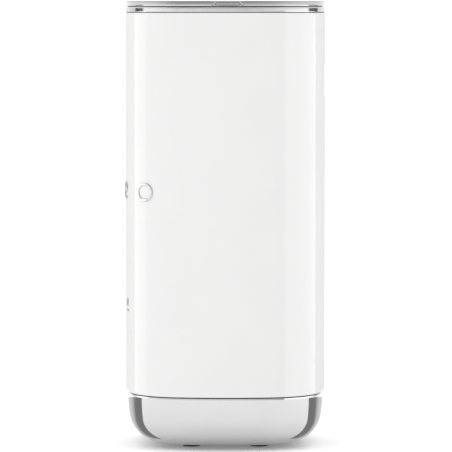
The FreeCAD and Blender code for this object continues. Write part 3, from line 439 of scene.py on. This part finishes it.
def new_object(name, mesh, sharp=30):
    bmesh.ops.recalc_face_normals(mesh, faces=mesh.faces)
    data = bpy.data.meshes.new(name)
    mesh.to_mesh(data)
    mesh.free()
    thing = bpy.data.objects.new(name, data)
    bpy.context.scene.collection.objects.link(thing)
    soften(thing, sharp)
    return thing


def soften(thing, sharp=30):
    """Smooth shading that breaks at sharp edges and follows the large faces."""
    thing.data.shade_smooth()
    thing.data.set_sharp_from_angle(angle=math.radians(sharp))
    if not thing.modifiers.get("weighted"):
        weighted = thing.modifiers.new("weighted", "WEIGHTED_NORMAL")
        weighted.keep_sharp = True


def cut(thing, *cutters, sharp=30):
    """Take the cutters' space out of a thing, then drop them."""
    thing.modifiers.clear()
    for cutter in cutters:
        modifier = thing.modifiers.new("cut", "BOOLEAN")
        modifier.object = cutter
        modifier.operation = "DIFFERENCE"
        modifier.solver = "EXACT"
    bpy.context.view_layer.update()
    graph = bpy.context.evaluated_depsgraph_get()
    data = bpy.data.meshes.new_from_object(thing.evaluated_get(graph))
    data.name = thing.name
    thing.modifiers.clear()
    thing.data = data
    for cutter in cutters:
        bpy.data.objects.remove(cutter)
    soften(thing, sharp)
    return thing


def rod_cutter(diameter, low, high, across=0.0, along=0.0):
    mesh = bmesh.new()
    carry(mesh, circle_loop(diameter / 2), [(0, low), (0, high)], upright(across, along), "filled")
    return new_object("cutter", mesh)


def box_cutter(low, high):
    mesh = bmesh.new()
    box_into(mesh, Vector(low), Vector(high))
    return new_object("cutter", mesh)


def window_cutter(half, low, high, inner, outer):
    return box_cutter((-half, inner, low), (half, outer, high))


def four_places(spread):
    return [(across, along) for across in (-spread, spread) for along in (-spread, spread)]


def settle(thing, slot, body, *nodes):
    """Give a piece its finish and body, and hide the CAD nodes it stands for."""
    thing.data.materials.clear()
    thing.data.materials.append(finish(slot))
    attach(thing, body)
    if nodes:
        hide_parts(*nodes)
    return thing


# ---- the outer pieces ----

class CIRCULATOR_OT_sleeve(bpy.types.Operator):
    """Build the white sleeve with its window for the inlet"""
    bl_idname = "circulator.sleeve"
    bl_label = "Body sleeve"

    def execute(self, context):
        shape = context.scene.circulator_shape
        edge, lip = shape.sleeve_edge, shape.lip_edge
        low, high = SLEEVE_LOW.z, SLEEVE_HIGH.z
        section = arc(edge, low + edge, edge, -90, 0, 8)
        section += [(0, low + edge + NEAR), (0, high - lip - NEAR)]
        section += arc(lip, high - lip, lip, 0, 90, 4)
        section += [(SLEEVE_WALL, high), (SLEEVE_WALL, low)]
        mesh = bmesh.new()
        carry(mesh, plan_loop(shape), section, upright())
        sleeve = new_object("sleeve_shell", mesh)
        cut(sleeve, window_cutter(*INLET_WINDOW))
        settle(sleeve, "gloss_white", "housing", "body_sleeve")
        return {"FINISHED"}


def dome_section(shape):
    """The dome's outer and inner arcs as (inset, level) points, from inside round the rim."""
    reach, top, bottom = DOME_HIGH.x, DOME_HIGH.z, DOME_LOW.z
    upper = Vector((reach - shape.dome_side, top))
    lower = Vector((shape.dome_flat, bottom + shape.dome_belly))
    apart = lower - upper
    first, second = shape.dome_side - shape.dome_turn, shape.dome_belly - shape.dome_turn
    along = (first ** 2 - second ** 2 + apart.length ** 2) / (2 * apart.length)
    off = math.sqrt(first ** 2 - along ** 2)
    ahead = apart.normalized()
    knee = upper + ahead * along + Vector((ahead.y, -ahead.x)) * off
    start = math.degrees(math.atan2(knee.y - upper.y, knee.x - upper.x))
    end = math.degrees(math.atan2(knee.y - lower.y, knee.x - lower.x))

    def arcs(inward, first_angle):
        spans = ((upper, shape.dome_side, first_angle, start, 16),
                 (knee, shape.dome_turn, start, end, 22),
                 (lower, shape.dome_belly, end, -90, 16))
        points = []
        for middle, radius, low, high, steps in spans:
            points += arc(HALF_WIDTH - middle.x, middle.y, radius - inward, low, high, steps)[
                (1 if points else 0):]
        return points

    lip = 0.2 * MM
    inner = list(reversed(arcs(shape.dome_wall, 0)))
    rim = arc(HALF_WIDTH - reach + lip, top - lip, lip, 90, 0, 4)
    return inner + rim + arcs(0, -math.degrees(lip / shape.dome_side))[1:]


class CIRCULATOR_OT_dome(bpy.types.Operator):
    """Build the polished base dome with its intake, screw holes and outlet window"""
    bl_idname = "circulator.dome"
    bl_label = "Base dome"

    def execute(self, context):
        shape = context.scene.circulator_shape
        mesh = bmesh.new()
        carry(mesh, plan_loop(shape), dome_section(shape), upright(), "filled")
        dome = new_object("dome_shell", mesh)
        low, high = DOME_LOW.z - 1 * MM, DOME_LOW.z + 3 * MM
        intake_bore, screw_bore = 30.6 * MM, 2.4 * MM
        cutters = [rod_cutter(intake_bore, low, high)]
        cutters += [self.gate(math.radians(turn), low, high) for turn in (60, 180, 300)]
        cutters += [rod_cutter(screw_bore, low, high, *place) for place in four_places(FOOT_SPREAD)]
        cutters.append(window_cutter(*OUTLET_WINDOW))
        cut(dome, *cutters)
        settle(dome, "polished_steel", "housing", "base_dome")
        return {"FINISHED"}

    def gate(self, middle, low, high):
        """A wedge for one of the notches that let the intake's tabs through."""
        reach, half = 17.5 * MM, math.radians(22)
        outline = [Vector((0, 0))]
        for side in (-1, -0.6, -0.2, 0.2, 0.6, 1):
            turn = middle + half * side
            outline.append(Vector((math.cos(turn), math.sin(turn))) * reach)
        mesh = bmesh.new()
        skin(mesh, [[Vector((spot.x, spot.y, level)) for spot in outline]
                    for level in (low, high)], "filled")
        return new_object("cutter", mesh)


class CIRCULATOR_OT_seals(bpy.types.Operator):
    """Build the three dark seals between the outer rings"""
    bl_idname = "circulator.seals"
    bl_label = "Seals"

    def execute(self, context):
        shape = context.scene.circulator_shape
        rows = (("seam_gasket", "seam_line", RING_STEP), ("ring_gasket", "ring_line", SLEEVE_WALL),
                ("groove_seal", "groove_line", CAP_WALL))
        edge = 0.08 * MM
        for node, name, inner in rows:
            low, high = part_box(node)
            outer = HALF_WIDTH - high.x
            section = arc(outer + edge, low.z + edge, edge, -90, 0, 3)
            section += arc(outer + edge, high.z - edge, edge, 0, 90, 3)
            section += [(inner, high.z), (inner, low.z)]
            mesh = bmesh.new()
            carry(mesh, plan_loop(shape), section, upright())
            settle(new_object(name, mesh), "dark_rubber", "housing", node)
        return {"FINISHED"}


class CIRCULATOR_OT_ring(bpy.types.Operator):
    """Build the polished ring with its spigot and screw lugs"""
    bl_idname = "circulator.ring"
    bl_label = "Top ring"

    def execute(self, context):
        shape = context.scene.circulator_shape
        edge = shape.ring_edge
        low, high, foot = RING_BAND_LOW, RING_HIGH.z, RING_LOW.z
        section = arc(edge, low + edge, edge, -90, 0, 8)
        section += arc(edge, high - edge, edge, 0, 90, 8)
        section += [(RING_WALL, high), (RING_WALL, foot), (RING_STEP, foot), (RING_STEP, low)]
        mesh = bmesh.new()
        carry(mesh, plan_loop(shape), section, upright())
        lug_radius, lug_top = 4 * MM, low - 2 * MM
        for place in four_places(LUG_SPREAD):
            carry(mesh, circle_loop(lug_radius, 40), [(0, foot), (0, lug_top)], upright(*place),
                  "filled")
        settle(new_object("ring_band", mesh), "polished_steel", "housing", "top_ring")
        return {"FINISHED"}


class CIRCULATOR_OT_cap(bpy.types.Operator):
    """Build the cap's band with its ledge and the notch for the side button"""
    bl_idname = "circulator.cap"
    bl_label = "Cap band"

    def execute(self, context):
        shape = context.scene.circulator_shape
        low, high, ledge, foot = CAP_BAND_LOW, CAP_HIGH.z, GLASS_LOW.z, CAP_LOW.z
        edge, small = shape.cap_edge, 0.2 * MM
        section = arc(small, low + small, small, -90, 0, 4)
        section += arc(edge, high - edge, edge, 0, 90, 10)
        section += arc(CAP_WALL - small, high - small, small, 90, 180, 4)
        section += [(CAP_WALL, ledge), (CAP_LEDGE, ledge), (CAP_LEDGE, low),
                    (CAP_FOOT_INNER, low), (CAP_FOOT_INNER, foot),
                    (CAP_FOOT_OUTER, foot), (CAP_FOOT_OUTER, low)]
        mesh = bmesh.new()
        carry(mesh, plan_loop(shape), section, upright())
        band = new_object("cap_band", mesh)
        middle, beyond = BUTTON_MIDDLE.y, 1 * MM
        notch_half, notch_depth = 8.7 * MM, 10 * MM
        slot_half, slot_depth, slot_below, slot_above = 5 * MM, 11 * MM, 1.3 * MM, 0.6 * MM
        notch = box_cutter((RIM_LOW.x, middle - notch_half, low - beyond),
                           (RIM_LOW.x + notch_depth, middle + notch_half, high + beyond))
        slot = box_cutter((RIM_LOW.x - slot_depth, middle - slot_half, ledge - slot_below),
                          (RIM_LOW.x + beyond, middle + slot_half, ledge + slot_above))
        cut(band, notch, slot)
        settle(band, "polished_steel", "housing", "cap_bezel")
        return {"FINISHED"}


# ---- controls ----

KEYS = {"minus": -22 * MM, "start": 0.0, "plus": 22 * MM}
KEY_ROW = -22 * MM
KEY_RADIUS, KEY_HOLE, KEY_DISH = 6 * MM, 12.6 * MM, 0.15 * MM
LIT_RISE = 0.004 * MM


class CIRCULATOR_OT_glass(bpy.types.Operator):
    """Build the dark control glass, its key holes and the lit digits"""
    bl_idname = "circulator.glass"
    bl_label = "Control glass"

    def execute(self, context):
        shape = context.scene.circulator_shape
        edge = 0.15 * MM
        outer = HALF_WIDTH - GLASS_HIGH.x
        section = [(outer, GLASS_LOW.z)]
        section += arc(outer + edge, GLASS_HIGH.z - edge, edge, 0, 90, 4)
        mesh = bmesh.new()
        carry(mesh, plan_loop(shape), section, upright(), "filled")
        glass = new_object("glass_plate", mesh)
        low, high = GLASS_LOW.z - 1 * MM, GLASS_HIGH.z + 1 * MM
        cut(glass, *[rod_cutter(KEY_HOLE, low, high, across, KEY_ROW) for across in KEYS.values()])
        settle(glass, "black_glass", "housing", "control_glass")
        self.digits(context, GLASS_HIGH.z + LIT_RISE)
        return {"FINISHED"}

    def digits(self, context, level):
        """Seven-segment figures, a decimal point and a short scale of bars."""
        segments = {"0": "abcdef", "6": "acdefg"}
        width, height, line, middle = 6.5 * MM, 12 * MM, 1.1 * MM, 10 * MM
        places, point, gap = (-14.5 * MM, -4.0 * MM, 8.5 * MM), 2.3 * MM, 0.7
        marks, pitch, mark_level, mark_size = 9, 4.4 * MM, -3.5 * MM, (2.6 * MM, 0.5 * MM)
        bars = {"a": (0, height / 2, 0), "g": (0, 0, 0), "d": (0, -height / 2, 0),
                "b": (width / 2, height / 4, 1), "c": (width / 2, -height / 4, 1),
                "f": (-width / 2, height / 4, 1), "e": (-width / 2, -height / 4, 1)}
        mesh = bmesh.new()
        for place, figure in zip(places, "600"):
            for bar in segments[figure]:
                across, along, tall = bars[bar]
                run = (height / 2 if tall else width) - line * gap
                size = (line, run) if tall else (run, line)
                bar_into(mesh, place + across, middle + along, *size, level)
        bar_into(mesh, point, middle - height / 2, line, line * 1.02, level)
        for step in range(marks):
            bar_into(mesh, (step - marks // 2) * pitch, mark_level, *mark_size, level)
        figures = new_object("lit_figures", mesh)
        figures.data.materials.append(lit(context))
        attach(figures, "housing")


def bar_into(mesh, across, along, width, depth, level, thickness=0.02 * MM):
    """A thin bar with rounded ends, lying on a level."""
    # a hair longer, so that the two round ends of a square bar stay apart
    longer = max(width, depth) * 1.0001
    loop = obround_loop(longer, min(width, depth), 8)
    if depth > width:
        loop = [(Vector((-spot.y, spot.x)), Vector((-normal.y, normal.x))) for spot, normal in loop]
    carry(mesh, loop, [(0, level), (0, level + thickness)], upright(across, along), "filled")


def lit(context):
    known = bpy.data.materials.get("finish_lit")
    return known or build_lit("finish_lit", context.scene.circulator_finish.lit_colour, 0.9)


class CIRCULATOR_OT_keys(bpy.types.Operator):
    """Build the three round keys with their symbols"""
    bl_idname = "circulator.keys"
    bl_label = "Keys"

    def execute(self, context):
        for word, across in KEYS.items():
            low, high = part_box("key_" + word)
            flange_high = GLASS_LOW.z - 0.1 * MM
            flange_low, flange_out = flange_high - 1.2 * MM, -1.5 * MM
            stem, foot_edge, edge = 3.5 * MM, 0.3 * MM, 0.35 * MM
            section = arc(stem + foot_edge, low.z + foot_edge, foot_edge, -90, 0, 3)
            section += [(stem, flange_low), (flange_out, flange_low), (flange_out, flange_high),
                        (0, flange_high)]
            section += arc(edge, high.z - edge, edge, 0, 90, 6)
            section += [(inset * MM, high.z - depth * MM)
                        for inset, depth in ((1.6, 0.03), (3.2, 0.10), (5.0, 0.14))]
            section += [(5.9 * MM, high.z - KEY_DISH)]
            mesh = bmesh.new()
            carry(mesh, circle_loop(KEY_RADIUS, 72), section, upright(across, KEY_ROW), "filled")
            key = new_object("key_cap_" + word, mesh)
            settle(key, "black_plastic", word + "_key", "key_" + word)
            self.symbol(context, word, across, high.z - KEY_DISH)
        return {"FINISHED"}

    def symbol(self, context, word, across, level):
        """A bar, a cross or a triangle set into the key's dish."""
        mesh = bmesh.new()
        long, wide, rise, crossing_rise = 4.4 * MM, 0.8 * MM, 0.05 * MM, 0.052 * MM
        if word == "start":
            corner, reach, spots = 0.5 * MM, 1.5 * MM, []
            for turn in (0, 120, 240):
                heading = math.radians(turn)
                middle = Vector((math.cos(heading), math.sin(heading))) * reach
                for step in range(7):
                    angle = math.radians(turn - 60 + 20 * step)
                    spots.append(middle + Vector((math.cos(angle), math.sin(angle))) * corner)
            skin(mesh, [[Vector((spot.x + across, spot.y + KEY_ROW, height)) for spot in spots]
                        for height in (level, level + rise)], "filled")
        else:
            bar_into(mesh, across, KEY_ROW, long, wide, level, rise)
        if word == "plus":
            bar_into(mesh, across, KEY_ROW, wide, long, level, crossing_rise)
        symbol = new_object("key_symbol_" + word, mesh)
        symbol.data.materials.append(lit(context))
        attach(symbol, word + "_key")


class CIRCULATOR_OT_side_button(bpy.types.Operator):
    """Build the side button and the rim round it"""
    bl_idname = "circulator.side_button"
    bl_label = "Side button"

    def execute(self, context):
        placed = facing_side(BUTTON_MIDDLE.y, BUTTON_MIDDLE.z)
        self.rim(placed, outside=(RIM_HIGH.y - RIM_LOW.y, RIM_HIGH.z - RIM_LOW.z),
                 inside=(13.6 * MM, 1.8 * MM), crown=0.25 * MM)
        self.face(placed)
        return {"FINISHED"}

    def rim(self, placed, outside, inside, crown, steps=9):
        """A ring between two slot shapes, with a crowned front."""
        loops = list(zip(obround_loop(*outside), obround_loop(*inside)))
        back, shoulder = RIM_LOW.x, RIM_HIGH.x - crown
        section = [(0, back), (0, shoulder)]
        for step in range(1, steps):
            angle = math.pi * step / steps
            section.append(((1 - math.cos(angle)) / 2, shoulder + crown * math.sin(angle)))
        section += [(1, shoulder), (1, back)]
        mesh = bmesh.new()
        skin(mesh, [[placed(outer[0].lerp(inner[0], mix), rise) for outer, inner in loops]
                    for mix, rise in section])
        settle(new_object("button_rim", mesh), "polished_steel", "housing", "button_frame")

    def face(self, placed, steps=9):
        """The crowned cap and the arm that reaches inwards to the switch."""
        front, depth, edge, crown = PUSH_HIGH.x, 1.8 * MM, 0.7 * MM, 0.45 * MM
        arm_half, arm_height, overlap = 4.5 * MM, 0.6 * MM, 1.6 * MM
        section = [(0, front - depth), (0, front - crown)]
        for step in range(1, steps):
            turn = math.pi / 2 * step / steps
            section.append((edge * (1 - math.cos(turn)), front - crown * (1 - math.sin(turn))))
        mesh = bmesh.new()
        carry(mesh, obround_loop(13 * MM, 1.6 * MM), section, placed, "filled")
        box_into(mesh, Vector((PUSH_LOW.x, BUTTON_MIDDLE.y - arm_half, PUSH_LOW.z)),
                 Vector((front - overlap, BUTTON_MIDDLE.y + arm_half, PUSH_LOW.z + arm_height)))
        settle(new_object("button_face", mesh), "polished_steel", "side_button", "power_button")


# ---- raised rings and marks ----

class CIRCULATOR_OT_badges(bpy.types.Operator):
    """Build the four raised rings on the front"""
    bl_idname = "circulator.badges"
    bl_label = "Raised rings"

    def execute(self, context):
        shape = context.scene.circulator_shape
        low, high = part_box("badge_rings")
        level = (low.z + high.z) / 2
        height, line, relief, sunk = high.z - low.z, 1.3 * MM, 0.6 * MM, 0.05 * MM
        edge, pitch, width = 0.35 * MM, 30.4 * MM, height + 2 * MM
        section = [(0, -sunk)] + arc(edge, relief - edge, edge, 0, 90, 6)
        section += arc(line - edge, relief - edge, edge, 90, 180, 6) + [(line, -sunk)]
        mesh = bmesh.new()
        for steps in (-1.5, -0.5, 0.5, 1.5):
            carry(mesh, obround_loop(width, height, 32), section,
                  on_front(shape, steps * pitch, level))
        settle(new_object("raised_rings", mesh), "polished_steel", "housing", "badge_rings")
        return {"FINISHED"}


class CIRCULATOR_OT_marks(bpy.types.Operator):
    """Build the pair of small level marks on the front"""
    bl_idname = "circulator.marks"
    bl_label = "Level marks"

    def execute(self, context):
        shape = context.scene.circulator_shape
        relief, sunk, edge = 0.25 * MM, 0.05 * MM, 0.1 * MM
        aside, circle_radius, circle_line = 21 * MM, 2.3 * MM, 0.9 * MM
        bar_width, bar_height = 6.4 * MM, 1.1 * MM
        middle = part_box("level_marks")[1].z - 3.7 * MM
        circle_level, bar_level = middle + 1.4 * MM, middle - 3 * MM
        bar = [(0, -sunk)] + arc(edge, relief - edge, edge, 0, 90, 3)
        ring = bar + arc(circle_line - edge, relief - edge, edge, 90, 180, 3)
        ring += [(circle_line, -sunk)]
        mesh = bmesh.new()
        for side in (-aside, aside):
            carry(mesh, circle_loop(circle_radius, 48), ring, on_front(shape, side, circle_level))
            carry(mesh, obround_loop(bar_width, bar_height, 12), bar,
                  on_front(shape, side, bar_level), "filled")
        settle(new_object("raised_marks", mesh), "grey_mark", "housing", "level_marks")
        return {"FINISHED"}


# ---- underside ----

class CIRCULATOR_OT_feet(bpy.types.Operator):
    """Build the four rubber feet"""
    bl_idname = "circulator.feet"
    bl_label = "Feet"

    def execute(self, context):
        low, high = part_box("feet")
        radius, edge, wall, skin_thickness = 5 * MM, 0.4 * MM, 2.4 * MM, 0.4 * MM
        dish_level, dish_edge, dish_middle, bore_middle = 0.12 * MM, 2.6 * MM, 3.6 * MM, 4.6 * MM
        section = [(dish_middle, low.z + dish_level), (dish_edge, low.z + dish_level),
                   (wall, low.z)]
        section += arc(edge, low.z + edge, edge, -90, 0, 6)
        section += [(0, high.z), (wall, high.z), (wall, low.z + skin_thickness),
                    (bore_middle, low.z + skin_thickness)]
        mesh = bmesh.new()
        for place in four_places(FOOT_SPREAD):
            carry(mesh, circle_loop(radius, 56), section, upright(*place), "filled")
        settle(new_object("rubber_feet", mesh), "dark_rubber", "housing", "feet")
        return {"FINISHED"}


class CIRCULATOR_OT_inner(bpy.types.Operator):
    """Give every remaining CAD node its finish"""
    bl_idname = "circulator.inner"
    bl_label = "Inner parts"

    def execute(self, context):
        slots = {row["node"]: row["material_slot"] for row in frame["record"]["subparts"]}
        for name, node in frame["nodes"].items():
            if not node.material_slots:
                node.data.materials.append(finish(slots[name]))
            for holder in node.material_slots:
                holder.material = finish(slots[name])
        return {"FINISHED"}


# ---- stage ----

class CIRCULATOR_OT_stage(bpy.types.Operator):
    """Set up the pale floor, the soft studio light and the camera"""
    bl_idname = "circulator.stage"
    bl_label = "Stage"

    def execute(self, context):
        studio = context.scene.circulator_studio
        scene = context.scene
        scene.view_settings.view_transform = "Standard"
        self.floor(studio)
        self.surround(scene, studio)
        self.panels(studio)
        self.reflectors()
        camera = bpy.data.objects.new("camera", bpy.data.cameras.new("camera"))
        scene.collection.objects.link(camera)
        camera.location = (studio.camera_distance, studio.camera_aside, studio.camera_height)
        aim = Vector((0, studio.camera_aside, studio.aim_height)) - camera.location
        camera.rotation_euler = aim.to_track_quat("-Z", "Y").to_euler()
        camera.data.sensor_width = 36
        camera.data.lens = studio.lens
        camera.data.clip_end = 60
        scene.camera = camera
        return {"FINISHED"}

    def floor(self, studio):
        mesh = bmesh.new()
        bmesh.ops.create_grid(mesh, x_segments=8, y_segments=8, size=studio.floor_size / 2)
        floor = new_object("floor", mesh)
        darker, lighter = (0.915, 0.915, 0.915, 1), (0.935, 0.935, 0.935, 1)
        tree = Tree("floor_paint")
        place = tree.add("ShaderNodeTexCoord").outputs["Object"]
        ramp = tree.add("ShaderNodeValToRGB", {"Fac": tree.noise(place, 0.4)})
        ramp.color_ramp.elements[0].color = darker
        ramp.color_ramp.elements[1].color = lighter
        shader = tree.add("ShaderNodeBsdfPrincipled", {
            "Base Color": ramp.outputs["Color"], "Roughness": 0.7, "Specular IOR Level": 0.2,
            "Emission Color": (1, 1, 1, 1), "Emission Strength": studio.floor_glow})
        tree.add("ShaderNodeOutputMaterial", {"Surface": shader.outputs["BSDF"]})
        floor.data.materials.append(tree.material)

    def surround(self, scene, studio):
        world = bpy.data.worlds.new("surround")
        scene.world = world
        world.use_nodes = True
        backing = world.node_tree.nodes["Background"]
        backing.inputs["Color"].default_value = (1, 1, 1, 1)
        backing.inputs["Strength"].default_value = studio.sky

    def panels(self, studio):
        middle = Vector((0, 0, 0.12))
        rows = (("top_panel", (0.0, 0.0, 2.6), 2.2, studio.top_light, True),
                ("front_panel", (0.9, -2.2, 0.9), 1.2, studio.side_light, False))
        for name, spot, size, power, glossy in rows:
            light = bpy.data.lights.new(name, "AREA")
            light.shape = "SQUARE"
            light.size = size
            light.energy = power
            lamp = bpy.data.objects.new(name, light)
            lamp.location = spot
            toward = middle - lamp.location
            lamp.rotation_euler = toward.to_track_quat("-Z", "Y").to_euler()
            lamp.visible_camera = False
            lamp.visible_glossy = glossy
            bpy.context.scene.collection.objects.link(lamp)

    def reflectors(self):
        """Bright and dark screens that only show as reflections.

        Each pair in a row is a direction round the object in degrees and the brightness there.
        """
        split, cap_line, rise = RING_BAND_LOW - 0.5 * MM, CAP_BAND_LOW - 0.6 * MM, 0.262
        low = ((-180, 0.86), (-115, 0.86), (-115, 2.1), (-84, 2.0), (-79, 1.2), (-60, 1.1),
               (0, 0.95), (38, 0.6), (42, 0.7), (44, 1.6), (80, 1.9), (113, 2.2), (113, 0.82),
               (180, 0.82))
        ring = ((-180, 1.0), (-115, 1.0), (-109, 0.14), (-91, 0.14), (-83, 1.55), (-60, 1.4),
                (-20, 1.1), (10, 0.95), (40, 1.3), (80, 1.5), (88, 1.5), (94, 0.14),
                (119, 0.14), (125, 1.0), (180, 1.0))
        cap = ((-180, 1.1), (-90, 1.1), (-60, 0.95), (-25, 0.5), (10, 0.55), (40, 0.78),
               (90, 1.0), (180, 1.1))
        above = ((-180, 0.8), (-90, 0.8), (-60, 0.55), (-20, 0.35), (20, 0.32), (40, 0.5),
                 (80, 0.8), (180, 0.8))
        reach, roof = 0.30, 0.42
        self.screen("low_screen", reach, reach, 0.0, split, low)
        self.screen("ring_screen", reach, reach, split, cap_line, ring)
        self.screen("cap_screen", reach, reach, cap_line, rise, cap)
        self.screen("high_screen", reach, reach, rise, roof, above)
        self.screen("roof_screen", 0.01, reach, roof, roof, above)
        for side in (-1, 1):
            self.strip(f"dark_strip_{'left' if side < 0 else 'right'}", side,
                       ((53, 0.40), (54, 0.27), (66, 0.27), (72, 0.6), (80, 0.72), (92, 0.78)))

    def strip(self, name, side, stops):
        """A glossy strip on the floor that runs out along the reflections of one corner."""
        shape = bpy.context.scene.circulator_shape
        turn = plan_centres(shape)[1]
        reach, under, level, lean = 0.25, 9 * MM, 0.6 * MM, math.radians(8)
        mesh = bmesh.new()
        glow = mesh.loops.layers.float_color.new("glow")
        ends = []
        for (start, first), (end, last) in zip(stops, stops[1:]):
            for part in (0.0, 0.25, 0.5, 0.75):
                ends.append((start + (end - start) * part, first + (last - first) * part))
        ends.append(stops[-1])
        rows = []
        for degrees, bright in ends:
            angle = math.radians(degrees)
            start = Vector((math.cos(angle - lean), math.sin(angle - lean)))
            near = Vector((turn, turn)) + start * (shape.corner_radius - under)
            far = near + Vector((math.cos(2 * angle), math.sin(2 * angle))) * reach
            rows.append([mesh.verts.new((spot.x, spot.y * side, level)) for spot in (near, far)]
                        + [bright])
        for row, after in zip(rows, rows[1:]):
            face = mesh.faces.new((row[0], row[1], after[1], after[0]))
            self.paint(face, glow, (row[2], row[2], after[2], after[2]))
        self.glowing(name, mesh)

    def screen(self, name, inner, outer, low, high, stops):
        """A screen round the axis whose brightness follows the stops by direction."""
        degrees_per_face = 3
        mesh = bmesh.new()
        glow = mesh.loops.layers.float_color.new("glow")
        for (start, first), (end, last) in zip(stops, stops[1:]):
            # two stops in one direction make a step in brightness, with no face between
            steps = max(1, int((end - start) / degrees_per_face)) if end > start else 0
            for step in range(steps):
                here, there = [
                    (math.radians(start + (end - start) * part), first + (last - first) * part)
                    for part in (step / steps, (step + 1) / steps)]
                corners = ((here, inner, low), (there, inner, low),
                           (there, outer, high), (here, outer, high))
                face = mesh.faces.new([
                    mesh.verts.new((math.cos(turn) * reach, math.sin(turn) * reach, level))
                    for (turn, bright), reach, level in corners])
                self.paint(face, glow, [bright for (turn, bright), reach, level in corners])
        self.glowing(name, mesh)

    def paint(self, face, glow, levels):
        for loop, bright in zip(face.loops, levels):
            loop[glow] = (bright, bright, bright, 1)

    def glowing(self, name, mesh):
        """A screen that only reflections see, as bright as its corners say."""
        data = bpy.data.meshes.new(name)
        mesh.to_mesh(data)
        mesh.free()
        screen = bpy.data.objects.new(name, data)
        bpy.context.scene.collection.objects.link(screen)
        tree = Tree(name)
        level = tree.add("ShaderNodeAttribute", attribute_name="glow").outputs["Color"]
        light = tree.add("ShaderNodeEmission", {"Color": level, "Strength": 1.0})
        tree.add("ShaderNodeOutputMaterial", {"Surface": light.outputs["Emission"]})
        screen.data.materials.append(tree.material)
        screen.visible_camera = False
        screen.visible_diffuse = False
        screen.visible_shadow = False
        screen.visible_transmission = False


# ---- panel and registration ----

OPERATORS = (
    CIRCULATOR_OT_inner, CIRCULATOR_OT_sleeve, CIRCULATOR_OT_dome, CIRCULATOR_OT_seals,
    CIRCULATOR_OT_ring, CIRCULATOR_OT_cap, CIRCULATOR_OT_glass, CIRCULATOR_OT_keys,
    CIRCULATOR_OT_side_button, CIRCULATOR_OT_badges, CIRCULATOR_OT_marks, CIRCULATOR_OT_feet,
    CIRCULATOR_OT_stage,
)
GROUPS = {
    "circulator_shape": CirculatorShape,
    "circulator_finish": CirculatorFinish,
    "circulator_studio": CirculatorStudio,
}


class CIRCULATOR_PT_panel(bpy.types.Panel):
    """Lists the pieces and their settings"""
    bl_idname = "CIRCULATOR_PT_panel"
    bl_label = "Circulator"
    bl_space_type = "VIEW_3D"
    bl_region_type = "UI"
    bl_category = "Circulator"

    def draw(self, context):
        for field, group in GROUPS.items():
            column = self.layout.column()
            for prop in group.__annotations__:
                column.prop(getattr(context.scene, field), prop)
        for operator in OPERATORS:
            self.layout.operator(operator.bl_idname)


def register():
    for group in (*GROUPS.values(), *OPERATORS, CIRCULATOR_PT_panel):
        bpy.utils.register_class(group)
    for field, group in GROUPS.items():
        setattr(bpy.types.Scene, field, bpy.props.PointerProperty(type=group))


def unregister():
    for field in GROUPS:
        delattr(bpy.types.Scene, field)
    for group in (CIRCULATOR_PT_panel, *reversed(OPERATORS), *GROUPS.values()):
        bpy.utils.unregister_class(group)


def main():
    register()
    for operator in OPERATORS:
        family, name = operator.bl_idname.split(".")
        getattr(getattr(bpy.ops, family), name)()


if __name__ == "__main__":
    main()
